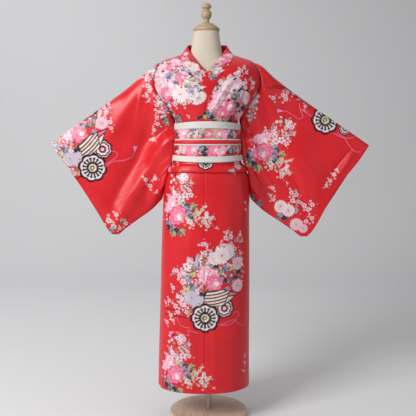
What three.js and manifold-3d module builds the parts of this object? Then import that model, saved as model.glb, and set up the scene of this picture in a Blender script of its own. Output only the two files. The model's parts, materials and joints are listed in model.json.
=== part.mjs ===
// A kimono worn on a limbless dress form that stands on a pole and a round foot.
//
// Units are millimetres and +Z is up. The origin is the centre of the foot's underside.
// The wearer faces -Y, so +X is the wearer's left. Left and right in names are the wearer's.
//
// Cloth is a thin closed wall on a grid of points. Below the bodice the grid follows oval
// sections, and the wall turns out and back at the waist as the tuck under the sash.
// The bodice is a depth over (x, z) that closes on the shoulder line. The sleeves are flat
// tubes that start on the same armhole points.

import * as THREE from "three";
import Module from "manifold-3d";

const wasm = await Module();
wasm.setup();

// ---------------------------------------------------------------- driving dimensions

const WALL = 1.4; // cloth wall
const SEAM_GAP = 0.32; // between two pieces at a seam
const LAYER = 2.4; // from one layer of the wrap to the next
const ROUND = 2.3; // power of the oval body section; 2 is an ellipse
const BODICE_Z = 1172; // where the armholes and the bodice start
const BODICE_X = -5; // the torso stands this far off the pole
const RIDGE_Y = 6; // the shoulder line lies just behind the pole

const OBI = { bottom: 1014, top: 1166, wall: 2.4, bottomRise: 7, topDrop: 8 };
const LAP = { start: 166, turn: 24, lift: 4.8, ramp: 16 }; // the sash's lap behind, in degrees
const BAND_WALL = 1.2; // each band that lies on the sash
const LAY_GAP = 0.35; // between the sash and what lies on it

const NECK_FOOT = 101; // half width of the neck opening at the collar's foot
const COLLAR_WALL = 1.9; // the folded collar is thicker than one cloth

const FORM_BOTTOM_Z = 880;
const NECK_TOP_Z = 1508;
const POLE_RADIUS = 12;
const FOOT = { radius: 155, height: 20, edge: 6 };

// ---------------------------------------------------------------- small tools

const rows = (names, list) => list.map((row) => {
  return Object.fromEntries(names.split(" ").map((name, k) => [name, row[k]]));
});
const clamp01 = (t) => Math.min(1, Math.max(0, t));
const mix = (a, b, t) => a + (b - a) * t;
const smooth = (t) => clamp01(t) ** 2 * (3 - 2 * clamp01(t));
const signedPow = (value, power) => Math.sign(value) * Math.abs(value) ** power;
const degrees = Math.PI / 180;
const vec = (x, y, z) => new THREE.Vector3(x, y, z);
const steps = (count, from = 0, to = 1) => {
  return Array.from({ length: count + 1 }, (_, k) => mix(from, to, k / count));
};

// A smooth curve through two columns of a table that never overshoots its rows.
function curve(table, from, to) {
  const x = table.map((row) => row[from]);
  const y = table.map((row) => row[to]);
  const last = x.length - 1;
  const slope = x.slice(1).map((value, k) => (y[k + 1] - y[k]) / (value - x[k]));
  const tangent = x.map((_, k) => {
    if (k === 0) return slope[0];
    if (k === last) return slope[last - 1];
    const [a, b] = [slope[k - 1], slope[k]];
    return a * b <= 0 ? 0 : (2 * a * b) / (a + b);
  });
  return (value) => {
    const v = Math.min(x[last], Math.max(x[0], value));
    let k = 0;
    while (k < last - 1 && v > x[k + 1]) k += 1;
    const width = x[k + 1] - x[k];
    const t = (v - x[k]) / width;
    const [t2, t3] = [t * t, t * t * t];
    return (2 * t3 - 3 * t2 + 1) * y[k] + (t3 - 2 * t2 + t) * width * tangent[k]
      + (3 * t2 - 2 * t3) * y[k + 1] + (t3 - t2) * width * tangent[k + 1];
  };
}

// ---------------------------------------------------------------- the body's sections

// Oval sections from the hem to the bodice: centre, half width, depth before and behind.
const BODY = rows("z centre half front back", [
  [133, -19, 181, 139, 130],
  [250, -18, 179, 137, 129],
  [526, -13.5, 174.5, 133, 127],
  [666, -12, 172, 131, 126],
  [805, -10, 169, 129, 124],
  [880, -8, 167.5, 128, 122],
  [942, -6, 164, 126, 119],
  [979, -5, 151, 121, 110],
  [998, -5, 138.5, 117, 103],
  [1009, -5, 127.5, 113, 98],
  [1030, -5, 125.5, 112, 95],
  [1101, -4.5, 118.5, 110, 91],
  [1143, -4.5, 114, 110, 92],
  [1172, -5, 116, 113, 96],
]);
const bodyCentre = curve(BODY, "z", "centre");
const bodyHalf = curve(BODY, "z", "half");
const bodyFront = curve(BODY, "z", "front");
const bodyBack = curve(BODY, "z", "back");

// The route of the cloth up the body, as height and lift off the oval sections. It climbs
// the skirt, turns out and down, turns up again as the visible tuck, and goes on under the
// sash. The over layer and the under layer nest in each other at both turns.
const ROUTE = rows("overZ overLift underZ underLift", [
  [133, 0, 136, -2.4],
  [215, 0, 215, -2.4],
  [330, 0, 330, -2.4],
  [450, 0, 450, -2.4],
  [570, 0, 570, -2.4],
  [690, 0, 690, -2.4],
  [790, 0, 790, -2.4],
  [870, 0, 870, -2.4],
  [925, 0, 925, -2.4],
  [960, 0, 960, -2.4],
  [980, 0, 981, -2.4],
  [989, 0.1, 992, -2.2],
  [993.4, 1.4, 997.8, 1.2],
  [990, 2.7, 992, 4.9],
  [983, 3.0, 988, 5.2],
  [979, 4.2, 984.4, 5.6],
  [977.4, 6.6, 983, 6.7],
  [980, 9.6, 985.4, 7.8],
  [988, 10.8, 991, 7.9],
  [996, 11, 996, 7.6],
  [1003, 8.6, 1003, 5.2],
  [1009, 6.6, 1009, 3.4],
  [1030, 5, 1030, 2.6],
  [1065, 5, 1065, 2.6],
  [1110, 5, 1110, 2.6],
  [1148, 5, 1148, 2.6],
  [1172, 5, 1172, 2.6],
]).map((row, step) => ({ ...row, step }));
const routeEnd = ROUTE.length - 1;
const route = Object.fromEntries(["overZ", "overLift", "underZ", "underLift"].map((name) => {
  return [name, curve(ROUTE, "step", name)];
}));
const OKUMI_END = routeEnd - 2; // the front edge pieces end under the sash

// The wrap: how far the over layer has climbed on the under layer, from the wearer's left
// side, where it is 0, to the right side, where it is one full layer.
const wrapRise = (turn) => smooth((80 - turn) / 90);

// A point of the lower body. turn is in degrees from the front, positive to the left.
function lowerPoint(layer, turn, step) {
  const around = layer === "back" ? clamp01((turn < 0 ? -turn - 90 : 270 - turn) / 180) : 0;
  const over = [route.overZ(step), route.overLift(step)];
  const under = [route.underZ(step), route.underLift(step) + LAYER];
  const share = layer === "over" ? 0 : layer === "under" ? 1 : 1 - around;
  const z = mix(over[0], under[0], share);
  const rise = layer === "back" ? 0 : layer === "over" ? wrapRise(turn) : wrapRise(turn) - 1;
  const lift = mix(over[1], under[1], share) + LAYER * rise;
  const [sine, cosine] = [Math.sin(turn * degrees), Math.cos(turn * degrees)];
  const depth = (cosine > 0 ? bodyFront(z) : bodyBack(z)) + lift;
  return vec(
    bodyCentre(z) + (bodyHalf(z) + lift) * signedPow(sine, 2 / ROUND),
    -depth * signedPow(cosine, 2 / ROUND),
    z,
  );
}

function lowerNormal(layer, turn, step) {
  const across = lowerPoint(layer, turn + 1, step).sub(lowerPoint(layer, turn - 1, step));
  const up = lowerPoint(layer, turn, Math.min(routeEnd, step + 0.1))
    .sub(lowerPoint(layer, turn, Math.max(0, step - 0.1)));
  return across.cross(up).normalize();
}

// ---------------------------------------------------------------- the bodice

// Height of the shoulder line over the distance from the centre.
const SHOULDER = rows("x z", [
  [0, 1431], [60, 1430], [101, 1422], [136, 1411],
  [160, 1404], [180, 1395], [215, 1376], [240, 1362],
]);
const shoulderZ = curve(SHOULDER, "x", "z");

// Bodice sections: share of the height up to the shoulder line, half width, depth before
// and behind, and where the armhole lies as a share of the half width.
const BODICE = rows("share half front back arm", [
  [0, 121, 118, 101, 0.99],
  [0.15, 148, 126, 104, 0.975],
  [0.33, 178, 133, 107, 0.965],
  [0.5, 200, 131, 109, 0.965],
  [0.66, 211, 118, 107, 0.965],
  [0.8, 210, 96, 97, 0.965],
  [0.9, 204, 71, 77, 0.95],
  [0.965, 197, 43, 48, 0.94],
  [1, 192, 0, 0, 0.94],
]);
const bodiceHalf = curve(BODICE, "share", "half");
const bodiceFront = curve(BODICE, "share", "front");
const bodiceBack = curve(BODICE, "share", "back");
const bodiceArm = curve(BODICE, "share", "arm");
const BODICE_SHARES = [0, 0.1, 0.22, 0.35, 0.48, 0.6, 0.72, 0.83, 0.91, 0.965, 0.991, 1];

const bodiceShare = (x, z) => (z - BODICE_Z) / (shoulderZ(Math.abs(x)) - BODICE_Z);
const bodiceHeight = (x, share) => mix(BODICE_Z, shoulderZ(Math.abs(x)), share);

// Depth of the bodice from the shoulder line's plane; x is from the torso's centre.
function bodiceDepth(side, x, z) {
  const share = clamp01(bodiceShare(x, z));
  const reach = clamp01(Math.abs(x) / bodiceHalf(share));
  const depth = side === "back" ? bodiceBack(share) : bodiceFront(share);
  return depth * (1 - reach ** ROUND) ** (1 / ROUND);
}

// The under layer of the front lies one layer in where the over layer covers it, and a
// little more over the chest, where the collar's two sides cross. Each runs in from x = from
// over a width.
const CHEST_RISE = { from: 70, width: 80 };
const CHEST_DROP = { from: -60, width: 50, depth: 1.2 };
function bodiceRise(layer, x, share) {
  if (layer === "back") return 0;
  const rise = smooth((CHEST_RISE.from - x) / CHEST_RISE.width);
  if (layer === "over") return LAYER * rise;
  const drop = CHEST_DROP.depth * smooth((x - CHEST_DROP.from) / CHEST_DROP.width);
  return LAYER * (rise - 1) - drop * smooth(share / 0.1);
}

function bodicePoint(layer, x, z) {
  const depth = bodiceDepth(layer, x, z);
  const towards = layer === "back" ? 1 : -1;
  const share = bodiceShare(x, z);
  const plane = RIDGE_Y * smooth(share / 0.9);
  const rise = bodiceRise(layer, x, share) * smooth((1 - share) / 0.2);
  return vec(BODICE_X + x, plane + towards * (depth + rise), z);
}

function bodiceNormal(layer, x, z) {
  const nudge = 0.6;
  const across = bodicePoint(layer, x + nudge, z).sub(bodicePoint(layer, x - nudge, z));
  const up = bodicePoint(layer, x, z + nudge).sub(bodicePoint(layer, x, z - nudge));
  const normal = layer === "back" ? up.cross(across) : across.cross(up);
  if (bodiceShare(x, z) > 0.9999) normal.y = 0;
  return normal.normalize();
}

// The collar from the sash to the shoulder on the over side; the under side mirrors it.
// Its foot lies on the front's edge at a share of the height. free is how far the other
// edge has left the chest to stand round the neck.
const COLLAR = rows("share footX edgeX edgeY edgeZ free", [
  [0, -20, -64, 0, 1186, 0],
  [0.1, -12.5, -57, 0, 1214, 0],
  [0.25, -1, -45, 0, 1252, 0],
  [0.35, 10, -33, 0, 1280, 0],
  [0.43, 23, -21, 0, 1304, 0],
  [0.56, 42, -1, 0, 1344, 0],
  [0.66, 57, 17, -98, 1364, 0],
  [0.77, 76, 38, -76, 1391, 0.15],
  [0.86, 91, 53, -52, 1412, 0.5],
  [0.94, 98, 64, -30, 1432, 0.85],
  [1, 101, 75, -11, 1449, 1],
]);
const collarFoot = curve(COLLAR, "share", "footX");
const collarEdge = ["edgeX", "edgeY", "edgeZ", "free"].map((name) => curve(COLLAR, "share", name));
const NECK_EDGE = { halfWidth: 85, y: 8, depth: 66, z: 1461, rise: 7 };

// The back neckline, as a height over x.
const backNeckZ = (x) => 1406 + 16 * clamp01(Math.abs(x) / NECK_FOOT) ** 2.6;

// ---------------------------------------------------------------- cloth walls

// A closed wall on a grid of points with a direction for its thickness at each. loop closes
// the grid on itself along its second index. Free and sewn edges are drawn in by half a gap.
function wallGeometry(points, normals, wall, loop = false) {
  const [n, m] = [points.length, points[0].length];
  const drawIn = (at, towards) => {
    return at.clone().add(towards.clone().sub(at).setLength(SEAM_GAP / 2));
  };
  const drawn = points.map((row, i) => row.map((point, j) => {
    let place = point.clone();
    if (i === 0) place = drawIn(place, points[1][j]);
    if (i === n - 1) place = drawIn(place, points[n - 2][j]);
    if (!loop && j === 0) place = drawIn(place, points[i][1]);
    if (!loop && j === m - 1) place = drawIn(place, points[i][m - 2]);
    return place;
  }));
  const position = [];
  for (const side of [0.5, -0.5]) {
    drawn.forEach((row, i) => row.forEach((point, j) => {
      const place = point.clone().addScaledVector(normals[i][j], side * wall);
      position.push(place.x, place.y, place.z);
    }));
  }
  const index = [];
  const at = (side, i, j) => side * n * m + i * m + (j % m);
  const quad = (a, b, c, d) => index.push(a, b, c, a, c, d);
  const across = loop ? m : m - 1;
  for (let i = 0; i < n - 1; i += 1) {
    for (let j = 0; j < across; j += 1) {
      quad(at(0, i, j), at(0, i, j + 1), at(0, i + 1, j + 1), at(0, i + 1, j));
      quad(at(1, i, j), at(1, i + 1, j), at(1, i + 1, j + 1), at(1, i, j + 1));
    }
  }
  for (let j = 0; j < across; j += 1) {
    quad(at(0, 0, j), at(1, 0, j), at(1, 0, j + 1), at(0, 0, j + 1));
    quad(at(0, n - 1, j), at(0, n - 1, j + 1), at(1, n - 1, j + 1), at(1, n - 1, j));
  }
  for (let i = 0; i < n - 1 && !loop; i += 1) {
    quad(at(0, i, 0), at(0, i + 1, 0), at(1, i + 1, 0), at(1, i, 0));
    quad(at(0, i, m - 1), at(1, i, m - 1), at(1, i + 1, m - 1), at(0, i + 1, m - 1));
  }
  return finished(position, index);
}

// Turns the faces outwards by the sign of the volume.
function finished(position, index) {
  let volume = 0;
  for (let k = 0; k < index.length; k += 3) {
    const [a, b, c] = [0, 1, 2].map((corner) => {
      return new THREE.Vector3().fromArray(position, 3 * index[k + corner]);
    });
    volume += a.dot(b.cross(c));
  }
  if (volume < 0) index.reverse();
  const geometry = new THREE.BufferGeometry();
  geometry.setAttribute("position", new THREE.Float32BufferAttribute(position, 3));
  geometry.setIndex(index);
  return geometry;
}

// ---------------------------------------------------------------- materials

const finish = (name, color, roughness, metalness = 0) => {
  const material = new THREE.MeshStandardMaterial({ color, roughness, metalness });
  material.name = name;
  return material;
};
const satin = () => finish("red_satin", 0xd8232b, 0.42);
const brocade = () => finish("sash_cloth", 0xc9464a, 0.55);
const white = () => finish("white_band", 0xe4e2da, 0.6);
const linen = () => finish("form_linen", 0xe4d8c4, 0.9);
const turned = () => finish("turned_wood", 0xb99b73, 0.55);
const footWood = () => finish("foot_wood", 0xa88c76, 0.6);
const poleMetal = () => finish("pole_metal", 0xb6b0a8, 0.4, 0.7);

const model = new THREE.Group();
function add(name, geometry, material) {
  const mesh = new THREE.Mesh(geometry, material);
  mesh.name = name;
  model.add(mesh);
  return mesh;
}

// ---------------------------------------------------------------- body panels

// The angle whose sine gives x on the section at this step, so an edge can run plumb.
function turnAt(layer, x, step) {
  const z = layer === "under" ? route.underZ(step) : route.overZ(step);
  const lift = layer === "under" ? route.underLift(step) : route.overLift(step);
  const share = (x - bodyCentre(z)) / (bodyHalf(z) + lift);
  return Math.asin(signedPow(share, ROUND / 2)) / degrees;
}

const OKUMI_SEAM_X = -15; // the over front's long seam; the under one mirrors it
const OKUMI_EDGE = 0.915; // its free edge, as a share of the half width
const FRONT_COLUMNS = 8;
const BACK_COLUMNS = 4; // on each side of the column that ends at the neck point
const OKUMI_COLUMNS = 6;

// The open slit at the side below the armhole, as an angle to each side of the side seam.
const shareToTurn = (share) => Math.asin(signedPow(share, ROUND / 2)) / degrees;
const turnToShare = (turn) => signedPow(Math.sin(turn * degrees), 2 / ROUND);
const sideSlit = (step) => {
  return (90 - shareToTurn(BODICE[0].arm)) * smooth((step - (routeEnd - 2)) / 2);
};

// The long seam leans under the sash to meet the collar's foot.
function okumiSeamTurn(layer, step) {
  const side = layer === "over" ? 1 : -1;
  const foot = BODICE_X + side * COLLAR[0].footX;
  const plain = layer === "over" ? OKUMI_SEAM_X : 2 * BODICE_X - OKUMI_SEAM_X;
  const lean = smooth((step - (routeEnd - 5)) / 5);
  return turnAt(layer, mix(plain, foot, lean), step);
}

// The back's columns are set out from a middle one, which ends at the neck point.
const BACK_MIDDLE = 0.55; // its share of the half width at the bottom of the bodice
const backMiddleX = (share) => mix(BACK_MIDDLE * bodiceHalf(0), NECK_FOOT, smooth(share));
const byMiddle = (outer, middle, inner) => [
  ...steps(BACK_COLUMNS, outer, middle), ...steps(BACK_COLUMNS, middle, inner).slice(1),
];

// Columns of a bodice row, as distances from the torso's centre, side edge first.
function bodiceColumns(layer, side, share) {
  const half = bodiceHalf(share);
  const outer = shareToTurn(bodiceArm(share));
  const middle = shareToTurn(backMiddleX(share) / half);
  const inner = shareToTurn(collarFoot(share) / half);
  const turns = layer === "back" ? byMiddle(outer, middle, 0) : steps(FRONT_COLUMNS, outer, inner);
  return turns.map((turn) => side * half * turnToShare(turn));
}

// The top of the bodice over x: the shoulder line, or the neckline behind.
function bodiceTop(layer, x) {
  const neck = layer === "back" && Math.abs(x) < NECK_FOOT - 0.01;
  return neck ? backNeckZ(x) : shoulderZ(Math.abs(x));
}

// Points and wall directions of one panel, hem to shoulder, in columns from its side edge
// to its inner edge.
function panel(layer, side) {
  const points = [];
  const normals = [];
  const middle = 180 - shareToTurn(BACK_MIDDLE);
  ROUTE.slice(0, -1).forEach(({ step }) => {
    const slit = sideSlit(step);
    const turns = layer === "back"
      ? byMiddle(90 + slit, middle, 180).map((turn) => side * turn)
      : steps(FRONT_COLUMNS, side * (90 - slit), okumiSeamTurn(layer, step));
    points.push(turns.map((turn) => lowerPoint(layer, turn, step)));
    normals.push(turns.map((turn) => lowerNormal(layer, turn, step)));
  });
  BODICE_SHARES.forEach((share) => {
    const places = bodiceColumns(layer, side, share).map((x) => {
      return [x, mix(BODICE_Z, bodiceTop(layer, x), share)];
    });
    points.push(places.map(([x, z]) => bodicePoint(layer, x, z)));
    normals.push(places.map(([x, z]) => bodiceNormal(layer, x, z)));
  });
  return { points, normals };
}

function okumi(layer) {
  const side = layer === "over" ? 1 : -1;
  const points = [];
  const normals = [];
  ROUTE.slice(0, OKUMI_END).forEach(({ step }) => {
    const edge = side * shareToTurn(OKUMI_EDGE);
    const turns = steps(OKUMI_COLUMNS, okumiSeamTurn(layer, step), -edge);
    points.push(turns.map((turn) => lowerPoint(layer, turn, step)));
    normals.push(turns.map((turn) => lowerNormal(layer, turn, step)));
  });
  return { points, normals };
}

const panels = {
  front_left: panel("over", 1),
  front_right: panel("under", -1),
  back_left: panel("back", 1),
  back_right: panel("back", -1),
  okumi_left: okumi("over"),
  okumi_right: okumi("under"),
};

// ---------------------------------------------------------------- collar

const COLLAR_COLUMNS = 3;
const COLLAR_CROWN = 1.5; // the over side's free edge rides up on the under side
const COLLAR_SINK = 2.4; // and the under side's lies in
const COLLAR_BAND = 44; // its width where the sash holds it
const NECK_EASE = 0.012; // the collar stands this share of its width clear of the neckline

// Foot to edge at each station: sash, over front, round the neck, under front, sash.
function collarStations() {
  const across = steps(COLLAR_COLUMNS);
  const ride = (layer, share) => {
    return layer === "over" ? COLLAR_CROWN * smooth(share / 0.25) : -COLLAR_SINK;
  };
  const front = (layer, side) => BODICE_SHARES.map((share) => {
    const footX = side * collarFoot(share);
    const foot = bodicePoint(layer, footX, bodiceHeight(footX, share));
    const [edgeX, edgeY, edgeZ, free] = collarEdge.map((column) => column(share));
    const edge = vec(BODICE_X + side * edgeX, edgeY, edgeZ);
    return across.map((p) => {
      const straight = foot.clone().lerp(edge, p);
      const laid = bodicePoint(layer, straight.x - BODICE_X, straight.z);
      laid.y -= ride(layer, share) * p;
      return laid.lerp(straight, free);
    });
  });
  const held = (layer, side) => [routeEnd - 2, routeEnd - 1].map((step) => {
    const foot = lowerPoint(layer, okumiSeamTurn(layer, step), step);
    return across.map((p) => {
      const place = lowerPoint(layer, turnAt(layer, foot.x - side * COLLAR_BAND * p, step), step);
      place.y -= ride(layer, 0) * p;
      return place;
    });
  });
  const neckX = bodiceColumns("back", 1, 1).slice(BACK_COLUMNS + 1);
  const neck = [...neckX, ...neckX.slice(0, -1).reverse().map((x) => -x)].map((footX) => {
    const foot = bodicePoint("back", footX, backNeckZ(footX));
    const cosine = footX / NECK_FOOT;
    const sine = Math.sqrt(1 - cosine * cosine);
    const { halfWidth, y, depth, z, rise } = NECK_EDGE;
    const edge = vec(BODICE_X + halfWidth * cosine, y + depth * sine, z + rise * sine);
    return across.map((p) => foot.clone().lerp(edge, mix(NECK_EASE, 1, p)));
  });
  return [
    ...held("over", 1), ...front("over", 1), ...neck,
    ...front("under", -1).reverse(), ...held("under", -1).reverse(),
  ];
}

// Directions for a wall's thickness, from the grid's own slopes.
function gridNormals(points, loop = false) {
  const [n, m] = [points.length, points[0].length];
  return points.map((row, i) => row.map((_, j) => {
    const along = points[Math.min(n - 1, i + 1)][j].clone().sub(points[Math.max(0, i - 1)][j]);
    const before = loop ? (j + m - 1) % m : Math.max(0, j - 1);
    const after = loop ? (j + 1) % m : Math.min(m - 1, j + 1);
    const across = row[after].clone().sub(row[before]);
    return along.cross(across).normalize();
  }));
}

// Two sewn edges share one direction at each point of the seam, half way between theirs.
function shareSeam(...corners) {
  const total = corners.reduce((sum, [grid, i, j]) => sum.add(grid[i][j]), vec(0, 0, 0));
  total.normalize();
  corners.forEach(([grid, i, j]) => {
    grid[i][j] = total.clone();
  });
}

const collarPoints = collarStations();
const collarNormals = gridNormals(collarPoints);
const shareCount = BODICE_SHARES.length;
const topRow = ROUTE.length - 2 + shareCount;
const stationCount = collarPoints.length;
BODICE_SHARES.slice(0, -1).forEach((_, k) => {
  const row = ROUTE.length - 1 + k;
  const [left, right] = [panels.front_left.normals, panels.front_right.normals];
  shareSeam([collarNormals, 2 + k, 0], [left, row, FRONT_COLUMNS]);
  shareSeam([collarNormals, stationCount - 3 - k, 0], [right, row, FRONT_COLUMNS]);
});
const NECK_CORNERS = [
  { side: "left", corner: 1 + shareCount, next: 1 },
  { side: "right", corner: stationCount - 2 - shareCount, next: -1 },
];
NECK_CORNERS.forEach(({ side, corner, next }) => {
  const front = [panels[`front_${side}`].normals, topRow, FRONT_COLUMNS];
  const back = panels[`back_${side}`].normals;
  shareSeam([collarNormals, corner, 0], front, [back, topRow, BACK_COLUMNS]);
  for (let k = 1; k < BACK_COLUMNS; k += 1) {
    shareSeam([collarNormals, corner + next * k, 0], [back, topRow, BACK_COLUMNS + k]);
  }
});
shareSeam(
  [collarNormals, 1 + shareCount + BACK_COLUMNS, 0],
  [panels.back_left.normals, topRow, 2 * BACK_COLUMNS],
  [panels.back_right.normals, topRow, 2 * BACK_COLUMNS],
);
add("collar", wallGeometry(collarPoints, collarNormals, COLLAR_WALL), satin());
for (const [name, { points, normals }] of Object.entries(panels)) {
  add(name, wallGeometry(points, normals, WALL), satin());
}

// ---------------------------------------------------------------- sleeves

// The sleeve's edges, as distances from the torso's centre and heights.
const SLEEVE_TOP = rows("along x z", [
  [0, 180.5, 1395], [0.07, 210, 1380], [0.125, 234, 1357], [0.19, 260, 1333], [1, 607, 1086],
]);
const SLEEVE_BOTTOM = rows("along x z", [
  [0, 178, 872], [0.25, 225, 824], [0.5, 273, 789],
  [0.75, 322, 752], [0.92, 355, 728], [1, 371, 729],
]);
const SLEEVE_CUFF = rows("down x z", [
  [0, 607, 1086], [0.38, 516, 950], [0.71, 440, 832], [0.95, 386, 744], [1, 371, 729],
]);
// The free edge beside the body, below the armhole; apart is half the opening.
const SLEEVE_INNER = rows("z x apart", [
  [1158, 131, 19], [1138, 136, 17], [1105, 140, 15], [1055, 148, 13],
  [1004, 162, 12], [945, 171, 10], [900, 176, 7],
]);
// Half the sleeve's fullness from its top fold down to its bottom seam.
const SLEEVE_FULL = rows("down full", [
  [0, 0], [0.025, 13], [0.08, 22], [0.2, 26], [0.4, 20],
  [0.65, 14], [0.88, 10], [0.97, 6], [1, 0],
]);
const CUFF_SHARE = 0.62; // of that fullness at the cuff
const HANG_SHARE = 0.35; // of the sleeve's length, where it has left the armhole's curve
const ARMHOLE_DOWN = 0.43; // the armhole's share of the inner edge
const SIDES = {
  right: { side: -1, layer: "under", longer: 0, lower: 0 },
  left: { side: 1, layer: "over", longer: 22, lower: 9 },
};
const SLEEVE_STATIONS = [0, 0.05, 0.11, 0.19, 0.28, 0.38, 0.49, 0.6, 0.71, 0.82, 0.92, 1];

// The sleeves' largest folds: from one place to another, as shares along and down, with a
// half width and a height; below 0 is a trough. A fold never quite dies out at its ends.
const SLEEVE_FOLDS = rows("along down toAlong toDown width height", [
  [0.1, 0.1, 0.62, 0.3, 0.06, 7],
  [0.02, 0.5, 0.8, 0.9, 0.07, 8],
  [0.12, 0.28, 0.5, 0.6, 0.06, -6],
  [0.4, 0.5, 0.85, 0.78, 0.05, -4],
]);
function foldHeight(folds, along, down) {
  return folds.reduce((sum, fold) => {
    const [dx, dy] = [fold.toAlong - fold.along, fold.toDown - fold.down];
    const [px, py] = [along - fold.along, down - fold.down];
    const t = clamp01((px * dx + py * dy) / (dx * dx + dy * dy));
    const away = Math.hypot(px - t * dx, py - t * dy) / fold.width;
    return sum + fold.height * Math.exp(-away * away) * Math.sin(Math.PI * mix(0.12, 0.88, t));
  }, 0);
}

const edgeCurve = (table, key) => [curve(table, key, "x"), curve(table, key, "z")];
const [topX, topZ] = edgeCurve(SLEEVE_TOP, "along");
const [bottomX, bottomZ] = edgeCurve(SLEEVE_BOTTOM, "along");
const [cuffX, cuffZ] = edgeCurve(SLEEVE_CUFF, "down");
const sleeveFull = curve(SLEEVE_FULL, "down", "full");

// The inner ring: armhole front, free edge, bottom, free edge, armhole back. The armhole's
// lowest stretch is left unsewn.
function sleeveRing({ side, layer }) {
  const armhole = (sheet) => BODICE_SHARES.slice(1).map((share) => {
    const x = side * bodiceHalf(share) * bodiceArm(share);
    const z = bodiceHeight(x, share);
    const point = bodicePoint(sheet, x, z);
    return { down: (1 - share) * ARMHOLE_DOWN, point, normal: bodiceNormal(sheet, x, z) };
  }).reverse();
  const bottom = SLEEVE_BOTTOM[0];
  const down = (z) => mix(ARMHOLE_DOWN, 1, (BODICE_Z - z) / (BODICE_Z - bottom.z));
  const free = (towards) => SLEEVE_INNER.map(({ z, x, apart }) => {
    return { down: down(z), point: vec(BODICE_X + side * x, RIDGE_Y + towards * apart, z) };
  });
  const tip = { down: 1, point: vec(BODICE_X + side * bottom.x, RIDGE_Y, bottom.z) };
  const front = [...armhole(layer), ...free(-1)].map((place) => ({ ...place, towards: -1 }));
  const back = [...armhole("back"), ...free(1)].map((place) => ({ ...place, towards: 1 }));
  return [...front, { ...tip, towards: 0 }, ...back.reverse().slice(0, -1)];
}

function sleevePoint({ side, longer, lower }, { down, point, towards }, along) {
  const innerX = side * (point.x - BODICE_X);
  const blend = (inner, cuff, top, bottom, corner) => {
    const plain = mix(inner, cuff, along);
    const topPull = top(along) - mix(top(0), top(1), along);
    const bottomPull = bottom(along) - mix(bottom(0), bottom(1), along);
    return plain + (1 - down) * topPull + down * bottomPull + corner * along;
  };
  const x = blend(innerX, cuffX(down), topX, bottomX, longer);
  const z = blend(point.z, cuffZ(down), topZ, bottomZ, -lower);
  const full = sleeveFull(down) * mix(1, CUFF_SHARE, along);
  const fold = foldHeight(SLEEVE_FOLDS, along, down) * Math.sin(Math.PI * clamp01(down));
  const lift = towards < 0 ? fold : 0.5 * fold;
  const hung = RIDGE_Y + towards * (full + lift);
  const y = mix(point.y, hung, smooth(along / HANG_SHARE));
  return vec(BODICE_X + side * x, y, z);
}

for (const [name, options] of Object.entries(SIDES)) {
  const ring = sleeveRing(options);
  const points = SLEEVE_STATIONS.map((along) => {
    return ring.map((place) => sleevePoint(options, place, along));
  });
  const normals = gridNormals(points, true);
  const outwards = options.side;
  normals.forEach((row) => row.forEach((normal) => normal.multiplyScalar(outwards)));
  ring.forEach(({ normal }, j) => {
    if (normal) normals[0][j] = normal;
  });
  add(`sleeve_${name}`, wallGeometry(points, normals, WALL, true), satin());
}

// ---------------------------------------------------------------- sash

// Lift of the sash's wall off the body sections.
const OBI_LIFTS = rows("z lift", [[1014, 12.4], [1030, 10.8], [1172, 10.8]]);
const obiLift = curve(OBI_LIFTS, "z", "lift");
const SASH_STEP = 8; // degrees from one column to the next

// A strip round the waist, by shares of the sash's height and how far out it lies. It runs
// from its inner end behind to its outer end, which laps over the start.
function sashStrip(shares, out, wall, startTurn) {
  const turns = steps((360 + LAP.turn) / SASH_STEP, 0, 360 + LAP.turn)
    .filter((turn) => turn >= startTurn)
    .map((turn, k) => (k === 0 && startTurn > 0 ? turn + 1 : turn));
  const points = shares.map((share) => turns.map((run) => {
    const turn = LAP.start + run;
    const [sine, cosine] = [Math.sin(turn * degrees), Math.cos(turn * degrees)];
    const bottom = OBI.bottom + OBI.bottomRise * sine * sine;
    const top = OBI.top - OBI.topDrop * sine * sine;
    const z = mix(bottom, top, share);
    const lap = LAP.lift * smooth((run - 360 + LAP.ramp) / LAP.ramp);
    const lift = obiLift(z) + out + lap;
    const depth = (cosine > 0 ? bodyFront(z) : bodyBack(z)) + lift;
    return vec(
      bodyCentre(z) + (bodyHalf(z) + lift) * signedPow(sine, 2 / ROUND),
      -depth * signedPow(cosine, 2 / ROUND),
      z,
    );
  }));
  const normals = gridNormals(points).map((row) => row.map((normal) => normal.negate()));
  return wallGeometry(points, normals, wall);
}

const BANDS = rows("name from to material", [
  ["obi_band_top", 0.83, 1, white],
  ["obijime_edge_top", 0.548, 0.58, white],
  ["obijime", 0.452, 0.544, satin],
  ["obijime_edge_bottom", 0.416, 0.448, white],
  ["obi_band_bottom", 0, 0.146, white],
]);
const SASH_SHARES = [0, 0.146, 0.416, 0.58, 0.83, 1];
add("obi", sashStrip(SASH_SHARES, 0, OBI.wall, 0), brocade());
BANDS.forEach(({ name, from, to, material }) => {
  const out = (OBI.wall + BAND_WALL) / 2 + LAY_GAP;
  add(name, sashStrip([from, to], out, BAND_WALL, LAP.turn), material());
});

// ---------------------------------------------------------------- dress form

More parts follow.
